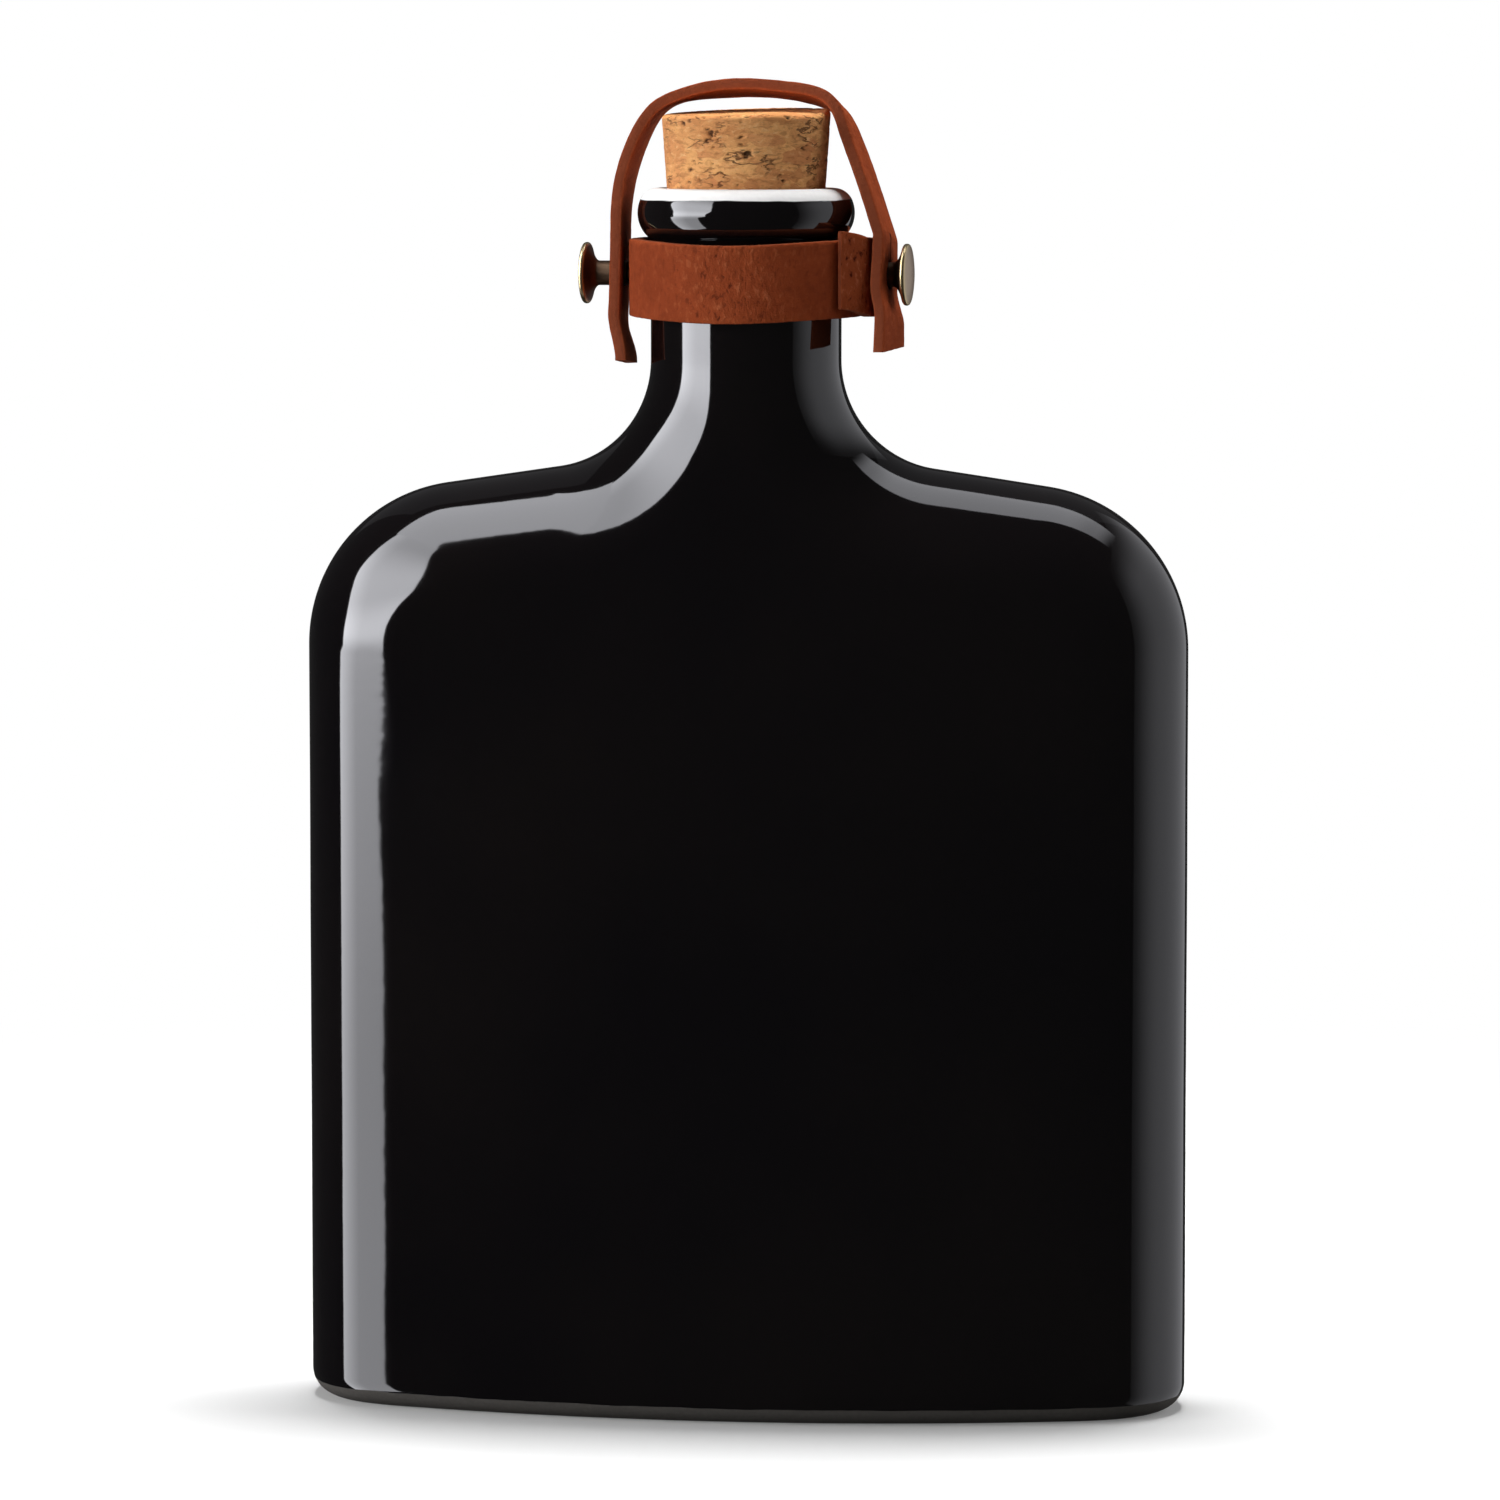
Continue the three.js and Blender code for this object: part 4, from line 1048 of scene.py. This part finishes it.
def stud_profile():
    """Radius, distance along the axis, and how far the brass is worn bright, from the screw hole to the face."""
    bore, deep = SCREW_RADIUS + FIT_GAP, STUD_BASE + SCREW_GRIP + FIT_GAP
    rows = [(0, deep, 0), (bore, deep, 0), (bore, STUD_BASE + 0.1, 0), (bore + 0.1, STUD_BASE, 0.1),
            (STEM_RADIUS - 0.1, STUD_BASE, 0.05), (STEM_RADIUS, STUD_BASE + 0.1, 0.05)]
    rows += [(STEM_RADIUS, z, 0.05) for z in np.linspace(STUD_BASE + 0.6, FLARE_START, 6)]
    for i in range(1, 15):
        share = i / 14
        rows.append((STEM_RADIUS + (HEAD_RADIUS - HEAD_BEVEL - STEM_RADIUS) * share**2,
                     FLARE_START + FLARE_LENGTH * share, 0.04))
    middle = HEAD_BACK + HEAD_EDGE / 2
    for i in range(0, 13):
        turn = -math.pi / 2 + math.pi * i / 12
        rows.append((HEAD_RADIUS - HEAD_BEVEL * (1 - math.cos(turn)), middle + HEAD_EDGE / 2 * math.sin(turn), 1.0))
    for share in np.linspace(0.96, 0, 16):
        rows.append(((HEAD_RADIUS - HEAD_BEVEL) * share, HEAD_FACE + HEAD_DOME * (1 - share**2),
                     0.55 + 0.25 * max(0, share - 0.75) / 0.25))
    return rows


rows = stud_profile()
studs = chain("studs", [(radius, 0, along) for radius, along, _ in rows], worn=[worn for *_, worn in rows])
facing_out(grow(studs, pair_recipe("stud_pair", aged_brass), points=len(rows)))
settle(crisp(studs, 50), "collar", ["stud_left", "stud_right"])

# %% Screws
def screw_profile():
    """A flat head and a plain shank, with broken edges."""
    head_in = NECK_RADIUS + FIT_GAP
    head_out, tip, broken = head_in + SCREW_HEAD_THICKNESS, STUD_BASE + SCREW_GRIP, 0.12
    return [(0, head_in), (1.2, head_in), (SCREW_HEAD_RADIUS - broken, head_in), (SCREW_HEAD_RADIUS, head_in + broken),
            (SCREW_HEAD_RADIUS, head_out - broken), (SCREW_HEAD_RADIUS - broken, head_out), (SCREW_RADIUS, head_out),
            (SCREW_RADIUS, tip - broken), (SCREW_RADIUS - broken, tip), (0, tip)]


SLOT_WIDTH, SLOT_DEPTH = 0.5, 0.35
screw_rows = screw_profile()
screw_slot = ((-4, -SLOT_WIDTH / 2, NECK_RADIUS - 1), (4, SLOT_WIDTH / 2, NECK_RADIUS + FIT_GAP + SLOT_DEPTH))
screws = chain("screws", [(radius, 0, along) for radius, along in screw_rows], worn=np.full(len(screw_rows), 0.4))
facing_out(grow(screws, pair_recipe("screw_pair", aged_brass, screw_slot), points=len(screw_rows), sides=64))
settle(crisp(screws, 30), "collar", ["stud_screw_left", "stud_screw_right"])

# %% [markdown]
# ## Floor, background and light
# Black gloss is lit by what it mirrors, so most lamps here are there to be mirrored: a tall soft light at the left,
# brighter towards the back, a ceiling light that carries its line on over the shoulder, a smaller one behind for the
# right shoulder, a dim card for the grey edge at the right, and a faint one behind for the rim. In front the room is
# dark, so the face stays black. Leather and cork need light that falls on them instead: a low key light from the
# left, a weaker one from the right, and a small one overhead, which lays the flask's soft shadow round its foot.

# %% Soft lights
def soft_light(name, centre, facing, width, height, glow, shade=None, mirrored=True):
    """A flat lamp, in millimetres, that looks towards a point; shade changes its glow from place to place."""
    lamp = bpy.data.lights.new(name, "AREA")
    lamp.shape = "RECTANGLE"
    lamp.size, lamp.size_y = width * MM, height * MM
    lamp.energy = glow * math.pi * lamp.size * lamp.size_y
    lamp.color = (0.97, 0.975, 1.03) if mirrored else (1, 1, 1)
    if shade:
        lamp.use_nodes = True
        tree = lamp.node_tree
        place = parts_of(tree, add_node(tree, "ShaderNodeNewGeometry").outputs["Position"])
        plug(tree, tree.nodes["Emission"].inputs["Strength"], shade(*(p / MM for p in place)))
    obj = bpy.data.objects.new(name, lamp)
    bpy.context.scene.collection.objects.link(obj)
    obj.location = Vector(centre) * MM
    obj.rotation_euler = (Vector(facing) - Vector(centre)).to_track_quat("-Z", "Y").to_euler()
    obj.visible_camera = False
    obj.visible_glossy, obj.visible_diffuse = mirrored, not mirrored
    print(name, "glows at", glow)
    return obj


def around(bearing, distance, height):
    """A point at a bearing from the camera's side of the flask, in degrees to the right."""
    a = VIEW_TURN + math.radians(bearing)
    return (distance * math.sin(a), -distance * math.cos(a), height)


def ceiling(name, bearing, along, side, glow, shade=None, height=900, level=115):
    """A lamp overhead, turned to a bearing; along and side are spans from the flask, as shares of its height."""
    a = VIEW_TURN + math.radians(bearing)
    ahead, aside = Vector((math.sin(a), -math.cos(a), 0)), Vector((-math.cos(a), -math.sin(a), 0))
    spot = (ahead * sum(along) / 2 + aside * sum(side) / 2) * height + Vector((0, 0, level + height))
    wide, long = (side[1] - side[0]) * height, (along[1] - along[0]) * height
    lamp = soft_light(name, spot, spot - Vector((0, 0, 1)), wide, long, glow, shade)
    lamp.rotation_euler = (0, 0, a)
    return lamp


print("lamps can stand round the flask or hang over it")

# %% How the lamps shade off
SOFTBOX_BEARING, SOFTBOX_DISTANCE = -71, 800


def from_softbox(x, y):
    """How far a place is towards the left softbox, and how far forward along it."""
    a = VIEW_TURN + math.radians(SOFTBOX_BEARING)
    return x * math.sin(a) - y * math.cos(a), x * math.cos(a) + y * math.sin(a)


def side_shade(x, y, z):
    """Brightest at the back and at the height of the neck; it is wider above."""
    forward = from_softbox(x, y)[1]
    front = 262 + 145 * z.smooth(-5, 50) + 115 * z.smooth(110, 330) - 80 * z.smooth(450, 1000)
    back = -235 + 65 * z.smooth(20, 60) - 170 * z.smooth(200, 600)
    inside = forward.smooth(back - 8, back + 8) * (1 - forward.smooth(front - 8, front + 8))
    level = (1 + 0.35 * z.ramp(-60, 30) + 0.6 * z.smooth(20, 130) - 0.42 * z.smooth(150, 330)
             - 0.57 * z.smooth(430, 1000))
    return inside * level * (1 - (0.42 - 0.2 * z.smooth(0, 100)) * (forward - back).ramp(0, 280))


def top_shade(x, y, z):
    """Wider towards the softbox."""
    towards, forward = from_softbox(x, y)
    front = 225 + 0.00107 * (towards - 350).op("MAXIMUM", 0) ** 2
    return 1 - forward.smooth(front - 10, front + 10)


def strip_shade(x, y, z):
    """Fades out to the right."""
    return 1 - 0.3 * x.smooth(300, 550) - 0.7 * x.smooth(550, 800)


def card_shade(x, y, z):
    """Dimmer in front and towards its top."""
    return (0.13 + 0.87 * y.smooth(-450, 120)) * (1 - 0.9 * z.smooth(450, 890))


print("four lamps shade off across their faces")

# %% Lamps in place
soft_light("left_softbox", around(SOFTBOX_BEARING, SOFTBOX_DISTANCE, 240), (0, 0, 240), 1080, 1820, 5.1, side_shade)
ceiling("top_softbox", SOFTBOX_BEARING, (0.235, 0.773), (-0.45, 0.36), 4.0, top_shade, height=1035)
ceiling("back_strip", 180, (0, 0.5), (0.04, 0.9), 1.9, strip_shade)
soft_light("right_card", around(104, 700, 100), (0, 0, 100), 1450, 1600, 0.52, card_shade)
soft_light("back_wall", around(180, 1200, 1300), (0, 0, 200), 2000, 1500, 0.06)
soft_light("key_light", around(-62, 1100, 330), (0, 0, 120), 900, 600, 6.3, mirrored=False)
soft_light("fill_light", around(104, 800, 260), (0, 0, 140), 800, 800, 1.9, mirrored=False)
soft_light("back_top_light", (0, 170, 1300), (0, 0, 0), 520, 300, 36, mirrored=False)

# %% Floor and background
def mix_shader(tree, factor, first, second):
    node = add_node(tree, "ShaderNodeMixShader")
    for socket, value in zip(node.inputs, (factor, first, second)):
        plug(tree, socket, value)
    return node


SHADOW_WIDE, SHADOW_LONG = 0.30, 0.28  # metres from the flask; beyond this the floor is plain white


def make_floor_paint():
    """White to the camera, with the flask's shadow close to its foot."""
    material = bpy.data.materials.new("white_floor")
    material.use_nodes = True
    tree = material.node_tree
    tree.nodes.clear()
    x, y, _ = parts_of(tree, add_node(tree, "ShaderNodeTexCoord").outputs["Object"])
    camera_ray = Field(tree, add_node(tree, "ShaderNodeLightPath").outputs["Is Camera Ray"])
    far = ((x / SHADOW_WIDE) ** 2 + (y / SHADOW_LONG) ** 2).root().smooth(0.5, 1.3)
    shade = camera_ray * 0.5 + 0.3  # what it throws back on the flask is dimmer
    paint = add_node(tree, "ShaderNodeBsdfDiffuse", {"Color": vector_of(tree, shade, shade, shade)})
    glow = add_node(tree, "ShaderNodeEmission", {"Strength": camera_ray * 0.12})
    near = add_node(tree, "ShaderNodeAddShader")
    plug(tree, near.inputs[0], paint)
    plug(tree, near.inputs[1], glow)
    white = add_node(tree, "ShaderNodeEmission", {"Strength": 1.0})
    out = add_node(tree, "ShaderNodeOutputMaterial")
    plug(tree, out.inputs["Surface"], mix_shader(tree, far * camera_ray, near, white))
    return material


FLOOR_HALF, FLOOR_DROP = 6.0, 0.05 * MM
floor_mesh = bpy.data.meshes.new("floor")
floor_mesh.from_pydata([(x * FLOOR_HALF, y * FLOOR_HALF, -FLOOR_DROP) for x, y in ((-1, -1), (1, -1), (1, 1), (-1, 1))],
                       [], [(0, 1, 2, 3)])
floor = bpy.data.objects.new("floor", floor_mesh)
bpy.context.scene.collection.objects.link(floor)
floor_mesh.materials.append(make_floor_paint())
floor.visible_glossy = False  # the glaze mirrors the lamps, not the floor

world = bpy.data.worlds.new("studio")
bpy.context.scene.world = world
world.use_nodes = True
room = world.node_tree
room_path = add_node(room, "ShaderNodeLightPath")
seen_or_clear = Field(room, room_path.outputs["Is Camera Ray"]).op("MAXIMUM", room_path.outputs["Is Transmission Ray"])
plug(room, room.nodes["Background"].inputs["Strength"], seen_or_clear * 0.97 + 0.03)
room.nodes["Background"].inputs["Color"].default_value = (1, 1, 1, 1)
bpy.context.scene.view_settings.view_transform = "Standard"
print("floor and background ready")
